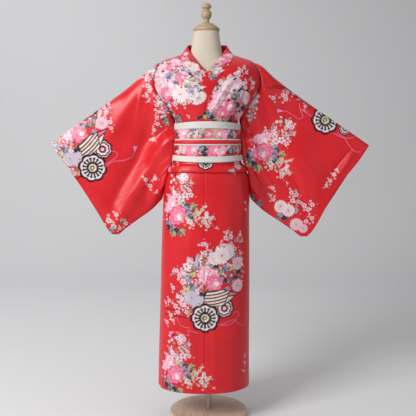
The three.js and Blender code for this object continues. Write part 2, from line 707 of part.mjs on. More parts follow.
// Insets of the form inside the body sections, and its own bust and shoulder sections.
const FORM_INSET = 7;
const FORM_SHARES = rows("share half front back", [
  [0, 109, 104, 87],
  [0.15, 124, 115, 95],
  [0.33, 142, 124, 101],
  [0.5, 156, 121, 102],
  [0.66, 168, 106, 99],
  [0.8, 175, 84, 88],
  [0.9, 177, 61, 68],
  [0.965, 175, 34, 40],
  [1, 172, 0, 0],
]);
const formHalf = curve(FORM_SHARES, "share", "half");
const formFront = curve(FORM_SHARES, "share", "front");
const formBack = curve(FORM_SHARES, "share", "back");
const FORM_HEIGHTS = [FORM_BOTTOM_Z, 900, 940, 975, 1000, 1030, 1100];
const RIDGE_CLEAR = WALL / 2 + 0.4; // the cloth rests on the form's shoulders
const FORM_TOP_SHARE = 0.998; // the form's own shoulders close just under the line
const FORM_COLUMNS = 28;

// Neck sections above the shoulders: height, half width, depth before and behind.
const NECK = rows("z half front back", [
  [1380, 92, 73, 66],
  [1408, 73, 61, 58],
  [1424, 64, 56, 54],
  [1438, 59.5, 54, 52],
  [1452, 56.5, 53, 50.5],
  [1468, 54, 51.5, 49],
  [1488, 50.5, 50, 47.5],
  [NECK_TOP_Z, 49, 49, 47],
]);
const NECK_X = -8;
const NECK_COLUMNS = 32;

// Joins rings of points into a closed solid with a fan at each end.
function ringSolid(rings) {
  const m = rings[0].length;
  const position = rings.flat().flatMap((point) => [point.x, point.y, point.z]);
  const index = [];
  for (let i = 0; i < rings.length - 1; i += 1) {
    for (let j = 0; j < m; j += 1) {
      const [a, b] = [i * m + j, i * m + ((j + 1) % m)];
      index.push(a, b, b + m, a, b + m, a + m);
    }
  }
  for (const [ring, flip] of [[0, true], [rings.length - 1, false]]) {
    const centre = rings[ring].reduce((sum, point) => sum.add(point), vec(0, 0, 0)).divideScalar(m);
    const hub = position.length / 3;
    position.push(centre.x, centre.y, centre.z);
    for (let j = 0; j < m; j += 1) {
      const [a, b] = [ring * m + j, ring * m + ((j + 1) % m)];
      index.push(...(flip ? [hub, b, a] : [hub, a, b]));
    }
  }
  return finished(position, index);
}

function toSolid(geometry) {
  const mesh = new wasm.Mesh({
    numProp: 3,
    vertProperties: new Float32Array(geometry.attributes.position.array),
    triVerts: Uint32Array.from(geometry.index.array),
  });
  mesh.merge();
  return new wasm.Manifold(mesh);
}

function fromSolid(solid) {
  const mesh = solid.getMesh();
  const geometry = new THREE.BufferGeometry();
  geometry.setAttribute("position", new THREE.Float32BufferAttribute(mesh.vertProperties, 3));
  geometry.setIndex(Array.from(mesh.triVerts));
  return geometry;
}

function formTorso() {
  const round = steps(FORM_COLUMNS, 0, 360).slice(0, -1);
  const oval = (half, front, back, turn) => {
    const [sine, cosine] = [Math.sin(turn * degrees), Math.cos(turn * degrees)];
    const depth = cosine > 0 ? front : back;
    return [half * signedPow(sine, 2 / ROUND), -depth * signedPow(cosine, 2 / ROUND)];
  };
  const lower = FORM_HEIGHTS.map((z) => round.map((turn) => {
    const sizes = [bodyHalf(z), bodyFront(z), bodyBack(z)].map((size) => size - FORM_INSET);
    const [x, y] = oval(...sizes, turn);
    return vec(bodyCentre(z) + x, y, z);
  }));
  const shares = [...BODICE_SHARES.slice(0, -1), FORM_TOP_SHARE];
  const upper = shares.map((share) => round.map((turn) => {
    const [x, y] = oval(formHalf(share), formFront(share), formBack(share), turn);
    const top = shoulderZ(Math.abs(x)) - RIDGE_CLEAR;
    return vec(BODICE_X + x, RIDGE_Y * smooth(share / 0.9) + y, mix(BODICE_Z, top, share));
  }));
  const neck = NECK.map(({ z, half, front, back }) => {
    return steps(NECK_COLUMNS, 0, 360).slice(0, -1).map((turn) => {
      const [x, y] = oval(half, front, back, turn);
      return vec(NECK_X + x, y, z);
    });
  });
  return fromSolid(toSolid(ringSolid([...lower, ...upper])).add(toSolid(ringSolid(neck))));
}

add("form_torso", formTorso(), linen());

// ---------------------------------------------------------------- stand

// Turned pieces stand on +Z: profiles are radius and height pairs from axis to axis.
function turnedPiece(name, profile, x, z, sides, material) {
  const points = profile.map(([radius, height]) => new THREE.Vector2(radius, height));
  const lathe = new THREE.LatheGeometry(points, sides);
  const merged = mergeLathe(lathe, points.length, sides);
  merged.rotateX(Math.PI / 2);
  const mesh = add(name, merged, material);
  mesh.position.set(x, 0, z);
}

// Closes a lathe's seam and its two ends on the axis.
function mergeLathe(lathe, count, sides) {
  const source = lathe.attributes.position;
  const position = [];
  const index = [];
  const vertexOf = (i, j) => {
    if (j === 0) return 0;
    if (j === count - 1) return 1;
    return 2 + (i % sides) * (count - 2) + (j - 1);
  };
  const push = (k) => position.push(source.getX(k), source.getY(k), source.getZ(k));
  push(0);
  push(count - 1);
  for (let i = 0; i < sides; i += 1) {
    for (let j = 1; j < count - 1; j += 1) push(i * count + j);
  }
  for (let i = 0; i < sides; i += 1) {
    for (let j = 0; j < count - 1; j += 1) {
      const [a, b] = [vertexOf(i, j), vertexOf(i + 1, j)];
      const [c, d] = [vertexOf(i + 1, j + 1), vertexOf(i, j + 1)];
      if (j > 0) index.push(a, b, c);
      if (j < count - 2) index.push(a, c, d);
    }
  }
  return finished(position, index);
}

const CAP_PROFILE = [
  [0, 0], [47, 0], [49.5, 3], [50.5, 8], [50, 13], [46, 16.5], [43, 17.5], [41.5, 21],
  [32, 25.5], [30, 28.5], [20, 31.5], [12, 33.5], [0, 33.5],
];
const FINIAL_PROFILE = [
  [0, 0], [13, 0], [11, 4], [10.3, 9], [12, 14], [18, 22], [20, 32], [18.5, 41], [12, 49],
  [10.5, 52], [13, 54], [18, 56.5], [19, 61], [16, 68], [9, 73.5], [3, 75.5], [0, 76],
];
const PART_GAP = 0.3;
const CAP_HEIGHT = 33.5;
turnedPiece("neck_cap", CAP_PROFILE, NECK_X, NECK_TOP_Z + PART_GAP, 32, turned());
turnedPiece("finial", FINIAL_PROFILE, NECK_X, NECK_TOP_Z + CAP_HEIGHT + 2 * PART_GAP, 20, turned());

const poleLength = FORM_BOTTOM_Z - FOOT.height - 2 * PART_GAP;
const POLE_PROFILE = [[0, 0], [POLE_RADIUS, 0], [POLE_RADIUS, poleLength], [0, poleLength]];
turnedPiece("pole", POLE_PROFILE, 0, FOOT.height + PART_GAP, 20, poleMetal());

const FOOT_PROFILE = [
  [0, 0], [FOOT.radius - 2, 0], [FOOT.radius, 2], [FOOT.radius, FOOT.height - FOOT.edge],
  [FOOT.radius - 0.3 * FOOT.edge, FOOT.height - 0.3 * FOOT.edge],
  [FOOT.radius - FOOT.edge, FOOT.height], [0, FOOT.height],
];
turnedPiece("foot", FOOT_PROFILE, 0, 0, 48, footWood());

export default model;
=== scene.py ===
"""A printed silk kimono with its sash, worn on a limbless dress form on a stand."""

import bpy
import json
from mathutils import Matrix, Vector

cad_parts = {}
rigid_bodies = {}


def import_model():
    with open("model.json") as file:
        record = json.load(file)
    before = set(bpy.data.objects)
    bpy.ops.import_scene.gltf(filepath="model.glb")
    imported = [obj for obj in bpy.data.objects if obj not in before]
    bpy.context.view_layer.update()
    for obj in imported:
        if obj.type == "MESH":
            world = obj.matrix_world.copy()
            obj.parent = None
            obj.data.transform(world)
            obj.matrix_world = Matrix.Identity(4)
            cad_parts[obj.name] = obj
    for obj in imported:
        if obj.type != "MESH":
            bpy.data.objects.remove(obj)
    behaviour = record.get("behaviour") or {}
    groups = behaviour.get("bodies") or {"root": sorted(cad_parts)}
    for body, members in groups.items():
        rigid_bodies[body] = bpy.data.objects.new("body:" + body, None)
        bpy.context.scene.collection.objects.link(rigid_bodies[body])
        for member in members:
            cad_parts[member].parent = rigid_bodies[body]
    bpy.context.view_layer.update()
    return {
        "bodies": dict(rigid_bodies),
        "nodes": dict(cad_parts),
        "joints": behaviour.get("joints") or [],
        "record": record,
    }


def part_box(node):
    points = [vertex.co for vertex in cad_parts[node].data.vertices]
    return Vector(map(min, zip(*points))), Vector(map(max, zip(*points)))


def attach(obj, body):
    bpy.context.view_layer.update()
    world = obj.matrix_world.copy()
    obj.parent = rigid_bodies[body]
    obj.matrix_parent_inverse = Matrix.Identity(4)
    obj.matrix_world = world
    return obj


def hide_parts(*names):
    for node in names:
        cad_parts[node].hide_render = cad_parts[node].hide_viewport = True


bl_info = {
    "name": "Kimono on a dress form",
    "version": (1, 0, 0),
    "blender": (4, 5, 0),
    "location": "3D View > Sidebar > Kimono",
    "description": "Builds a printed silk kimono, its sash and the dress form that wears it",
    "category": "Add Mesh",
}

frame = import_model()

import json
import math

import bpy
import numpy as np
from bpy.props import FloatProperty, FloatVectorProperty, PointerProperty
from mathutils import Vector

# ------------------------------------------------------------------ measures, in millimetres

MM = 0.001
ROUND = 2.3  # power of the oval sections; 2 is an ellipse
LAYER = 2.4  # from one layer of the wrap to the next
BODICE_Z = 1172
BODICE_X = -5
RIDGE_Y = 6
CLOTH_WALL = 1.4
COLLAR_WALL = 1.9
STRIDE = 4  # points of the face side to one of the lining
REACH_BLUR = 6  # how far up and down the body's reach is softened
DOWN_MM = 500  # the sleeve ring's share of the way down, as millimetres for even spacing
FOLD_ENDS = (0.12, 0.88)  # the part of a sine that a fold's height follows along its line
SEED_TURN = 2.39996  # radians from one seed of a spiral to the next
SASH_GIRTH, SASH_TALL = 800, 150
SASH_END = 384  # degrees round the waist, with the lap
CAMERA_PLACE = (-0.002, -2.7, 1.097)  # metres
SENSOR = 36  # millimetres
FOCAL, PICTURE = 692, 416  # focal length and picture's width, in pixels
FOOT_RADIUS, FOOT_TALL, FOOT_ROUND = 155, 20, 6
FRONTS = ["left_front_panel", "right_front_panel"]
BODY_PANELS = [*FRONTS, "left_back_panel", "right_back_panel"]

# Height, centre, half width, depth before and depth behind of the body's oval sections.
BODY = [
    (133, -19, 181, 139, 130), (250, -18, 179, 137, 129), (526, -13.5, 174.5, 133, 127),
    (666, -12, 172, 131, 126), (805, -10, 169, 129, 124), (880, -8, 167.5, 128, 122),
    (942, -6, 164, 126, 119), (979, -5, 151, 121, 110), (998, -5, 138.5, 117, 103),
    (1009, -5, 127.5, 113, 98), (1030, -5, 125.5, 112, 95), (1101, -4.5, 118.5, 110, 91),
    (1143, -4.5, 114, 110, 92), (1172, -5, 116, 113, 96),
]

# The cloth's way up the body, as height and lift of the over layer, then of the under layer.
ROUTE = [
    (133, 0, 136, -2.4), (215, 0, 215, -2.4), (330, 0, 330, -2.4), (450, 0, 450, -2.4),
    (570, 0, 570, -2.4), (690, 0, 690, -2.4), (790, 0, 790, -2.4), (870, 0, 870, -2.4),
    (925, 0, 925, -2.4), (960, 0, 960, -2.4), (980, 0, 981, -2.4), (989, 0.1, 992, -2.2),
    (993.4, 1.4, 997.8, 1.2), (990, 2.7, 992, 4.9), (983, 3.0, 988, 5.2),
    (979, 4.2, 984.4, 5.6), (977.4, 6.6, 983, 6.7), (980, 9.6, 985.4, 7.8),
    (988, 10.8, 991, 7.9), (996, 11, 996, 7.6), (1003, 8.6, 1003, 5.2),
    (1009, 6.6, 1009, 3.4), (1030, 5, 1030, 2.6), (1065, 5, 1065, 2.6),
    (1110, 5, 1110, 2.6), (1148, 5, 1148, 2.6), (1172, 5, 1172, 2.6),
]
ROUTE_END = len(ROUTE) - 1
OKUMI_END = ROUTE_END - 3
TUCK_STEPS = (10.3, 21.5)  # where the cloth turns out and back

SHOULDER = [
    (0, 1431), (60, 1430), (101, 1422), (136, 1411), (160, 1404), (180, 1395), (215, 1376),
    (240, 1362),
]
# Share of the bodice's height, half width, depth before, depth behind, armhole's share.
BODICE = [
    (0, 121, 118, 101, 0.99), (0.15, 148, 126, 104, 0.975), (0.33, 178, 133, 107, 0.965),
    (0.5, 200, 131, 109, 0.965), (0.66, 211, 118, 107, 0.965), (0.8, 210, 96, 97, 0.965),
    (0.9, 204, 71, 77, 0.95), (0.965, 197, 43, 48, 0.94), (1, 192, 0, 0, 0.94),
]
BODICE_SHARES = [0, 0.1, 0.22, 0.35, 0.48, 0.6, 0.72, 0.83, 0.91, 0.965, 0.991, 1]

# Share up the front, foot x, edge x, y and z, and how free of the chest the edge stands.
COLLAR = [
    (0, -20, -64, 0, 1186, 0), (0.1, -12.5, -57, 0, 1214, 0), (0.25, -1, -45, 0, 1252, 0),
    (0.35, 10, -33, 0, 1280, 0), (0.43, 23, -21, 0, 1304, 0), (0.56, 42, -1, 0, 1344, 0),
    (0.66, 57, 17, -98, 1364, 0), (0.77, 76, 38, -76, 1391, 0.15),
    (0.86, 91, 53, -52, 1412, 0.5), (0.94, 98, 64, -30, 1432, 0.85), (1, 101, 75, -11, 1449, 1),
]
NECK_FOOT = 101
NECK_EDGE = {"half": 85, "y": 8, "depth": 66, "z": 1461, "rise": 7}
COLLAR_CROWN = 1.5
COLLAR_SINK = 2.4
COLLAR_BAND = 44
NECK_EASE = 0.012

OKUMI_SEAM_X = -15
OKUMI_EDGE = 0.915
BACK_MIDDLE = 0.55

SLEEVE_TOP = [(0, 180.5, 1395), (0.07, 210, 1380), (0.125, 234, 1357), (0.19, 260, 1333),
              (1, 607, 1086)]
SLEEVE_BOTTOM = [(0, 178, 872), (0.25, 225, 824), (0.5, 273, 789), (0.75, 322, 752),
                 (0.92, 355, 728), (1, 371, 729)]
SLEEVE_CUFF = [(0, 607, 1086), (0.38, 516, 950), (0.71, 440, 832), (0.95, 386, 744),
               (1, 371, 729)]
# Down the sleeve's inner edge, from below the armhole: height and half thickness.
SLEEVE_INNER = [(1158, 19), (1138, 17), (1105, 15), (1055, 13), (1004, 12), (945, 10), (900, 7)]
SLEEVE_CLEAR = 1.9  # from the body or the sash to the sleeve
SLEEVE_FORWARD = {-1: 44, 1: 36}  # how far its front wall falls before the waist's side
SLEEVE_FULL = [(0, 0), (0.025, 13), (0.08, 22), (0.2, 26), (0.4, 20), (0.65, 14), (0.88, 10),
               (0.97, 6), (1, 0)]
SLEEVE_CUFF_SHARE = 0.62
ARMHOLE_DOWN = 0.43
HANG_SHARE = 0.35
MOUTH = {-1: 0.004, 1: 0.022}  # how far the cuff's front edge draws back from its hind edge
SLEEVE_FOLDS = [  # half width, height, and the line as along and down
    (0.06, 7, [(0.1, 0.1), (0.62, 0.3)]), (0.07, 8, [(0.02, 0.5), (0.8, 0.9)]),
    (0.06, -6, [(0.12, 0.28), (0.5, 0.6)]), (0.05, -4, [(0.4, 0.5), (0.85, 0.78)]),
]
SLEEVE_SIDES = {
    "right": {"side": -1, "layer": "under", "longer": 0, "lower": 0},
    "left": {"side": 1, "layer": "over", "longer": 22, "lower": 9},
}

OBI_BOTTOM = 1014
OBI_TOP = 1166
OBI_LIFT = [(1014, 12.4), (1030, 10.8), (1172, 10.8)]
LAP = {"start": 166, "turn": 24, "lift": 4.8, "ramp": 16}
BANDS = {  # share of the sash's height from and to, crown of the band
    "obi_band_top": (0.83, 1, 1.2),
    "obijime_edge_top": (0.548, 0.58, 0.8),
    "obijime": (0.452, 0.544, 1.6),
    "obijime_edge_bottom": (0.416, 0.448, 0.8),
    "obi_band_bottom": (0, 0.146, 1.2),
}

FORM_INSET = 7
FORM = [
    (0, 109, 104, 87), (0.15, 124, 115, 95), (0.33, 142, 124, 101), (0.5, 156, 121, 102),
    (0.66, 168, 106, 99), (0.8, 175, 84, 88), (0.9, 177, 61, 68), (0.965, 175, 34, 40),
    (1, 172, 0, 0),
]
NECK = [
    (1380, 92, 73, 66), (1408, 73, 61, 58), (1424, 64, 56, 54), (1438, 59.5, 54, 52),
    (1452, 56.5, 53, 50.5), (1468, 54, 51.5, 49), (1488, 50.5, 50, 47.5), (1508, 49, 49, 47),
]
NECK_X = -8
CAP_PROFILE = [
    (47, 0), (49.5, 3), (50.5, 8), (50, 13), (46, 16.5), (43, 17.5), (41.5, 21), (32, 25.5),
    (30, 28.5), (20, 31.5), (12, 33.5),
]
FINIAL_PROFILE = [
    (13, 0), (11, 4), (10.3, 9), (12, 14), (18, 22), (20, 32), (18.5, 41), (12, 49),
    (10.5, 52), (13, 54), (18, 56.5), (19, 61), (16, 68), (9, 73.5), (3, 75.5),
]


# ------------------------------------------------------------------ small tools


def clamp(t):
    return np.clip(t, 0.0, 1.0)


def mix(a, b, t):
    return a + (b - a) * t


def smooth(t):
    t = clamp(t)
    return t * t * (3 - 2 * t)


def signed_pow(value, power):
    return np.sign(value) * np.abs(value) ** power


def unit(vectors):
    return vectors / np.maximum(np.linalg.norm(vectors, axis=-1, keepdims=True), 1e-9)


def rows_of(text):
    """Rows of numbers, set apart by commas."""
    return [tuple(float(number) for number in row.split()) for row in text.split(",")]


def lines_of(text):
    """Drawn lines, set apart by semicolons, each a row of places."""
    return [rows_of(line) for line in text.split(";")]


def fold_rows(text):
    """Folds as half width, height and the places of their line."""
    return [(*size, line) for size, *line in lines_of(text)]


def motif_rows(text):
    """Motifs as kind, across, up, size and sometimes turn; a run of one kind names it once."""
    runs = [run.split(None, 1) for run in text.split(";")]
    return [(kind, *row) for kind, rows in runs for row in rows_of(rows)]


def gaps(points, axis=0):
    """The distances between neighbouring points along one axis of a grid."""
    return np.linalg.norm(np.diff(points, axis=axis), axis=-1)


def travelled(steps, axis=0):
    """The way gone along an axis, from nought, over steps of these lengths."""
    start = np.zeros_like(np.take(steps, [0], axis=axis))
    return np.concatenate([start, np.cumsum(steps, axis=axis)], axis=axis)


def in_strides(length, spacing):
    """How many steps a length takes, as a whole number of the lining's strides."""
    return STRIDE * math.ceil(length / spacing / STRIDE)


def hermite(values, slopes, k, width, t):
    """The cubic between rows k and k + 1, which lie a width apart."""
    return ((2 * t**3 - 3 * t**2 + 1) * values[k] + (t**3 - 2 * t**2 + t) * width * slopes[k]
            + (3 * t**2 - 2 * t**3) * values[k + 1] + (t**3 - t**2) * width * slopes[k + 1])


def curve(table, column=1):
    """A smooth curve through a column of a table that never overshoots its rows."""
    xs = np.array([row[0] for row in table], float)
    ys = np.array([row[column] for row in table], float)
    slope = np.diff(ys) / np.diff(xs)
    tangent = np.concatenate([slope[:1], np.zeros(len(xs) - 2), slope[-1:]])
    a, b = slope[:-1], slope[1:]
    turning = a * b <= 0
    tangent[1:-1] = np.where(turning, 0, 2 * a * b / np.where(turning, 1, a + b))

    def at(value):
        v = np.clip(value, xs[0], xs[-1])
        k = np.clip(np.searchsorted(xs, v, side="left") - 1, 0, len(xs) - 2)
        width = xs[k + 1] - xs[k]
        return hermite(ys, tangent, k, width, (v - xs[k]) / width)

    return at


def columns(table):
    return [curve(table, k) for k in range(1, len(table[0]))]


def evenly(line, end, spacing):
    """Values from nought to an end whose points on a line lie about a spacing apart."""
    values = np.linspace(0, end, 5000)
    middles = (values[1:] + values[:-1]) / 2
    run = travelled(gaps(line(values)) / spacing(middles))
    return np.interp(np.linspace(0, run[-1], in_strides(run[-1], 1) + 1), run, values)


# ------------------------------------------------------------------ the body's surfaces

body_centre, body_half, body_front, body_back = columns(BODY)
route = [curve(list(enumerate(row[k] for row in ROUTE))) for k in range(4)]
shoulder_z = curve(SHOULDER)
bodice_half, bodice_front, bodice_back, bodice_arm = columns(BODICE)
collar_foot, collar_x, collar_y, collar_z, collar_free = columns(COLLAR)
form_half, form_front, form_back = columns(FORM)
obi_lift = curve(OBI_LIFT)


def share_to_turn(share):
    return np.degrees(np.arcsin(np.clip(signed_pow(share, ROUND / 2), -1, 1)))


def turn_to_share(turn):
    return signed_pow(np.sin(np.radians(turn)), 2 / ROUND)


def section(z, lift, turn):
    """Points of the body's oval section at a height, lifted outwards."""
    z, lift, turn = np.broadcast_arrays(z, lift, turn)
    sine, cosine = np.sin(np.radians(turn)), np.cos(np.radians(turn))
    depth = np.where(cosine > 0, body_front(z), body_back(z)) + lift
    x = body_centre(z) + (body_half(z) + lift) * signed_pow(sine, 2 / ROUND)
    y = -depth * signed_pow(cosine, 2 / ROUND)
    return np.stack([x, y, z], -1)


def wrap_rise(turn):
    return smooth((80 - turn) / 90)


def lower_points(layer, turn, step):
    over_z, over_lift, under_z, under_lift = (column(step) for column in route)
    if layer == "back":
        around = clamp(np.where(turn < 0, -turn - 90, 270 - turn) / 180)
        share, rise = 1 - around, 0
    elif layer == "over":
        share, rise = 0, wrap_rise(turn)
    else:
        share, rise = 1, wrap_rise(turn) - 1
    lift = mix(over_lift, under_lift + LAYER, share) + LAYER * rise
    return section(mix(over_z, under_z, share), lift, turn)


def turn_at(layer, x, step):
    z, lift = (column(step) for column in (route[2:] if layer == "under" else route[:2]))
    return share_to_turn((x - body_centre(z)) / (body_half(z) + lift))


def okumi_seam_turn(layer, step):
    side = 1 if layer == "over" else -1
    plain = OKUMI_SEAM_X if layer == "over" else 2 * BODICE_X - OKUMI_SEAM_X
    lean = smooth((step - (ROUTE_END - 5)) / 5)
    return turn_at(layer, mix(plain, BODICE_X + side * COLLAR[0][1], lean), step)


def bodice_points(layer, x, z):
    """Points of the bodice; x is from the torso's centre."""
    share = (z - BODICE_Z) / (shoulder_z(np.abs(x)) - BODICE_Z)
    inside = clamp(share)
    reach = clamp(np.abs(x) / bodice_half(inside))
    depth = (bodice_back if layer == "back" else bodice_front)(inside)
    depth = depth * (1 - reach**ROUND) ** (1 / ROUND)
    rise = smooth((70 - x) / 80)
    if layer == "back":
        rise = 0
    elif layer == "over":
        rise = LAYER * rise
    else:
        rise = LAYER * (rise - 1) - 1.2 * smooth((x + 60) / 50) * smooth(share / 0.1)
    rise = rise * smooth((1 - share) / 0.2)
    towards = 1 if layer == "back" else -1
    plane = RIDGE_Y * smooth(share / 0.9)
    return np.stack([BODICE_X + x, plane + towards * (depth + rise), z], -1)


def back_neck_z(x):
    return 1406 + 16 * clamp(np.abs(x) / NECK_FOOT) ** 2.6


def by_middle(outer, middle, inner, u):
    return np.where(u < 0.5, mix(outer, middle, 2 * u), mix(middle, inner, 2 * u - 1))


def panel_points(layer, side, t, u):
    """A body panel: t runs up it, to ROUTE_END at the bodice and one more at the shoulder.
    u runs from its side edge to its inner edge."""
    t, u = np.meshgrid(t, u, indexing="ij")
    step = np.minimum(t, ROUTE_END - 1)
    slit = (90 - share_to_turn(BODICE[0][4])) * smooth((step - (ROUTE_END - 2)) / 2)
    if layer == "back":
        turn = side * by_middle(90 + slit, 180 - share_to_turn(BACK_MIDDLE), 180, u)
    else:
        turn = mix(side * (90 - slit), okumi_seam_turn(layer, step), u)
    lower = lower_points(layer, turn, step)

    share = clamp(t - ROUTE_END)
    half = bodice_half(share)
    outer = share_to_turn(bodice_arm(share))
    inner = share_to_turn(collar_foot(share) / half)
    if layer == "back":
        middle_x = mix(BACK_MIDDLE * bodice_half(0), NECK_FOOT, smooth(share))
        turn = by_middle(outer, share_to_turn(middle_x / half), 0, u)
    else:
        turn = mix(outer, inner, u)
    x = side * half * turn_to_share(turn)
    top = shoulder_z(np.abs(x))
    if layer == "back":
        top = np.where(np.abs(x) < NECK_FOOT - 0.01, back_neck_z(x), top)
    upper = bodice_points(layer, x, mix(BODICE_Z, top, share))
    return mix(lower, upper, clamp(t - (ROUTE_END - 1))[..., None])


def okumi_points(layer, t, u):
    side = 1 if layer == "over" else -1
    t, u = np.meshgrid(t, u, indexing="ij")
    edge = -side * share_to_turn(OKUMI_EDGE)
    return lower_points(layer, mix(okumi_seam_turn(layer, t), edge, u), t)


def spline(points, count_of):
    """A finer row of points on a Catmull-Rom curve through rows of points."""
    points = np.asarray(points, float)
    chord = gaps(points)
    run = travelled(chord.max(axis=-1) if chord.ndim > 1 else chord)
    count = count_of(run[-1])
    flat = points.reshape(len(points), -1)
    tangent = np.gradient(flat, run, axis=0)
    at = np.linspace(0, run[-1], count + 1)
    k = np.clip(np.searchsorted(run, at, side="right") - 1, 0, len(run) - 2)
    width = (run[k + 1] - run[k])[:, None]
    fine = hermite(flat, tangent, k, width, (at - run[k])[:, None] / width)
    return fine.reshape((count + 1,) + points.shape[1:])


def collar_points(spacing):
    """The collar's stations from the sash round the neck to the sash, foot to edge."""
    across = np.linspace(0, 1, 13)

    def ride(layer, share):
        return COLLAR_CROWN * smooth(share / 0.25) if layer == "over" else -COLLAR_SINK

    def front(layer, side):
        rows = []
        for share in BODICE_SHARES:
            foot_x = side * collar_foot(share)
            foot_z = mix(BODICE_Z, shoulder_z(abs(foot_x)), share)
            foot = bodice_points(layer, foot_x, foot_z)
            edge = np.array([BODICE_X + side * collar_x(share), collar_y(share), collar_z(share)])
            straight = mix(foot, edge, across[:, None])
            laid = bodice_points(layer, straight[:, 0] - BODICE_X, straight[:, 2])
            laid[:, 1] -= ride(layer, share) * across
            rows.append(mix(laid, straight, collar_free(share)))
        return rows

    def held(layer, side):
        rows = []
        for step in (ROUTE_END - 2, ROUTE_END - 1):
            foot = lower_points(layer, okumi_seam_turn(layer, step), step)
            turn = turn_at(layer, foot[0] - side * COLLAR_BAND * across, step)
            row = lower_points(layer, turn, step)
            row[:, 1] -= ride(layer, 0) * across
            rows.append(row)
        return rows

    half = bodice_half(1.0)
    turns = np.linspace(share_to_turn(NECK_FOOT / half), 0, 5)
    xs = half * turn_to_share(turns)
    neck = []
    for foot_x in [*xs[1:], *-xs[-2:0:-1]]:
        foot = bodice_points("back", foot_x, back_neck_z(foot_x))
        cosine = foot_x / NECK_FOOT
        sine = math.sqrt(1 - cosine * cosine)
        edge = np.array([BODICE_X + NECK_EDGE["half"] * cosine,
                         NECK_EDGE["y"] + NECK_EDGE["depth"] * sine,
                         NECK_EDGE["z"] + NECK_EDGE["rise"] * sine])
        neck.append(mix(foot, edge, mix(NECK_EASE, 1, across)[:, None]))
    stations = [*held("over", 1), *front("over", 1), *neck,
                *front("under", -1)[::-1], *held("under", -1)[::-1]]
    return spline(stations, lambda length: in_strides(length, spacing))


def body_reach(side, z):
    """How far out the dressed body reaches at a height, with its edges softened."""
    steps = np.linspace(0, ROUTE_END, 1200)
    outer = "over" if side > 0 else "under"
    walls = [lower_points(layer, side * 90, steps) for layer in (outer, "back")]
    run = 90 if side > 0 else 270
    for low, high, out in [(0, 1, 1.2)] + [(a, b, 2.8 + crown) for a, b, crown in BANDS.values()]:
        share = np.linspace(low, high, 60)
        walls.append(sash_points((run - LAP["start"]) % 360 + 0 * share, share, out))
    points = np.concatenate(walls)
    near = np.exp(-(((points[:, 2] - z) / REACH_BLUR) ** 2))
    reach = side * points[:, 0]
    return float(np.max(reach - REACH_BLUR * (1 - near) - 900 * (near < 0.02)))


def sleeve_ring(side, layer, spacing):
    """The sleeve's inner ring: how far down, the point, and -1 before or 1 behind."""
    tip = SLEEVE_BOTTOM[0]
    apart = curve(SLEEVE_INNER[::-1])
    chains = []
    for towards, sheet in ((-1, layer), (1, "back")):
        chain = []
        for share in BODICE_SHARES[:0:-1]:
            x = side * bodice_half(share) * bodice_arm(share)
            z = mix(BODICE_Z, shoulder_z(abs(x)), share)
            chain.append([(1 - share) * ARMHOLE_DOWN * DOWN_MM, *bodice_points(sheet, x, z)])
        for z in range(1168, 882, -12):
            forward = SLEEVE_FORWARD[side] * smooth((1156 - z) / 50) * smooth((z - 872) / 60)
            y = RIDGE_Y + towards * (apart(z) + (forward if towards < 0 else 0))
            reach = body_reach(side, z)
            share = min(1, abs(y) / (body_front(z) + 12))
            inwards = reach * (1 - (1 - share**ROUND) ** (1 / ROUND))
            down = mix(ARMHOLE_DOWN, 1, (BODICE_Z - z) / (BODICE_Z - tip[2]))
            chain.append([down * DOWN_MM, side * (reach - inwards + SLEEVE_CLEAR), y, z])
        edge = body_reach(side, tip[2]) + SLEEVE_CLEAR
        chain.append([DOWN_MM, side * edge, RIDGE_Y, tip[2]])
        fine = spline(chain, lambda length: 2 * math.ceil(length / spacing / 2))
        chains.append(np.concatenate([fine, np.full((len(fine), 1), towards)], 1))
    count = min(len(chain) for chain in chains)
    front, back = (chain if len(chain) == count else chain[
        np.round(np.linspace(0, len(chain) - 1, count)).astype(int)] for chain in chains)
    ring = np.concatenate([front, back[-2:0:-1]])
    return ring[:, 0] / DOWN_MM, ring[:, 1:4], ring[:, 4]


def fold_height(folds, a, b):
    """The height of soft ridges and troughs laid along drawn lines on a cloth."""
    a, b = np.broadcast_arrays(a, b)
    total = np.zeros(a.shape)
    for width, height, line in folds:
        lengths = [math.dist(p, q) for p, q in zip(line[:-1], line[1:])]
        nearest, along, run = np.full(a.shape, np.inf), np.zeros(a.shape), 0.0
        for (a0, b0), (a1, b1), length in zip(line[:-1], line[1:], lengths):
            t = clamp(((a - a0) * (a1 - a0) + (b - b0) * (b1 - b0)) / length**2)
            away = np.hypot(a - a0 - t * (a1 - a0), b - b0 - t * (b1 - b0))
            closer = away < nearest
            nearest = np.where(closer, away, nearest)
            along = np.where(closer, (run + t * length) / sum(lengths), along)
            run += length
        fading = np.sin(np.pi * mix(*FOLD_ENDS, along))
        total += height * np.exp(-((nearest / width) ** 2)) * fading
    return total


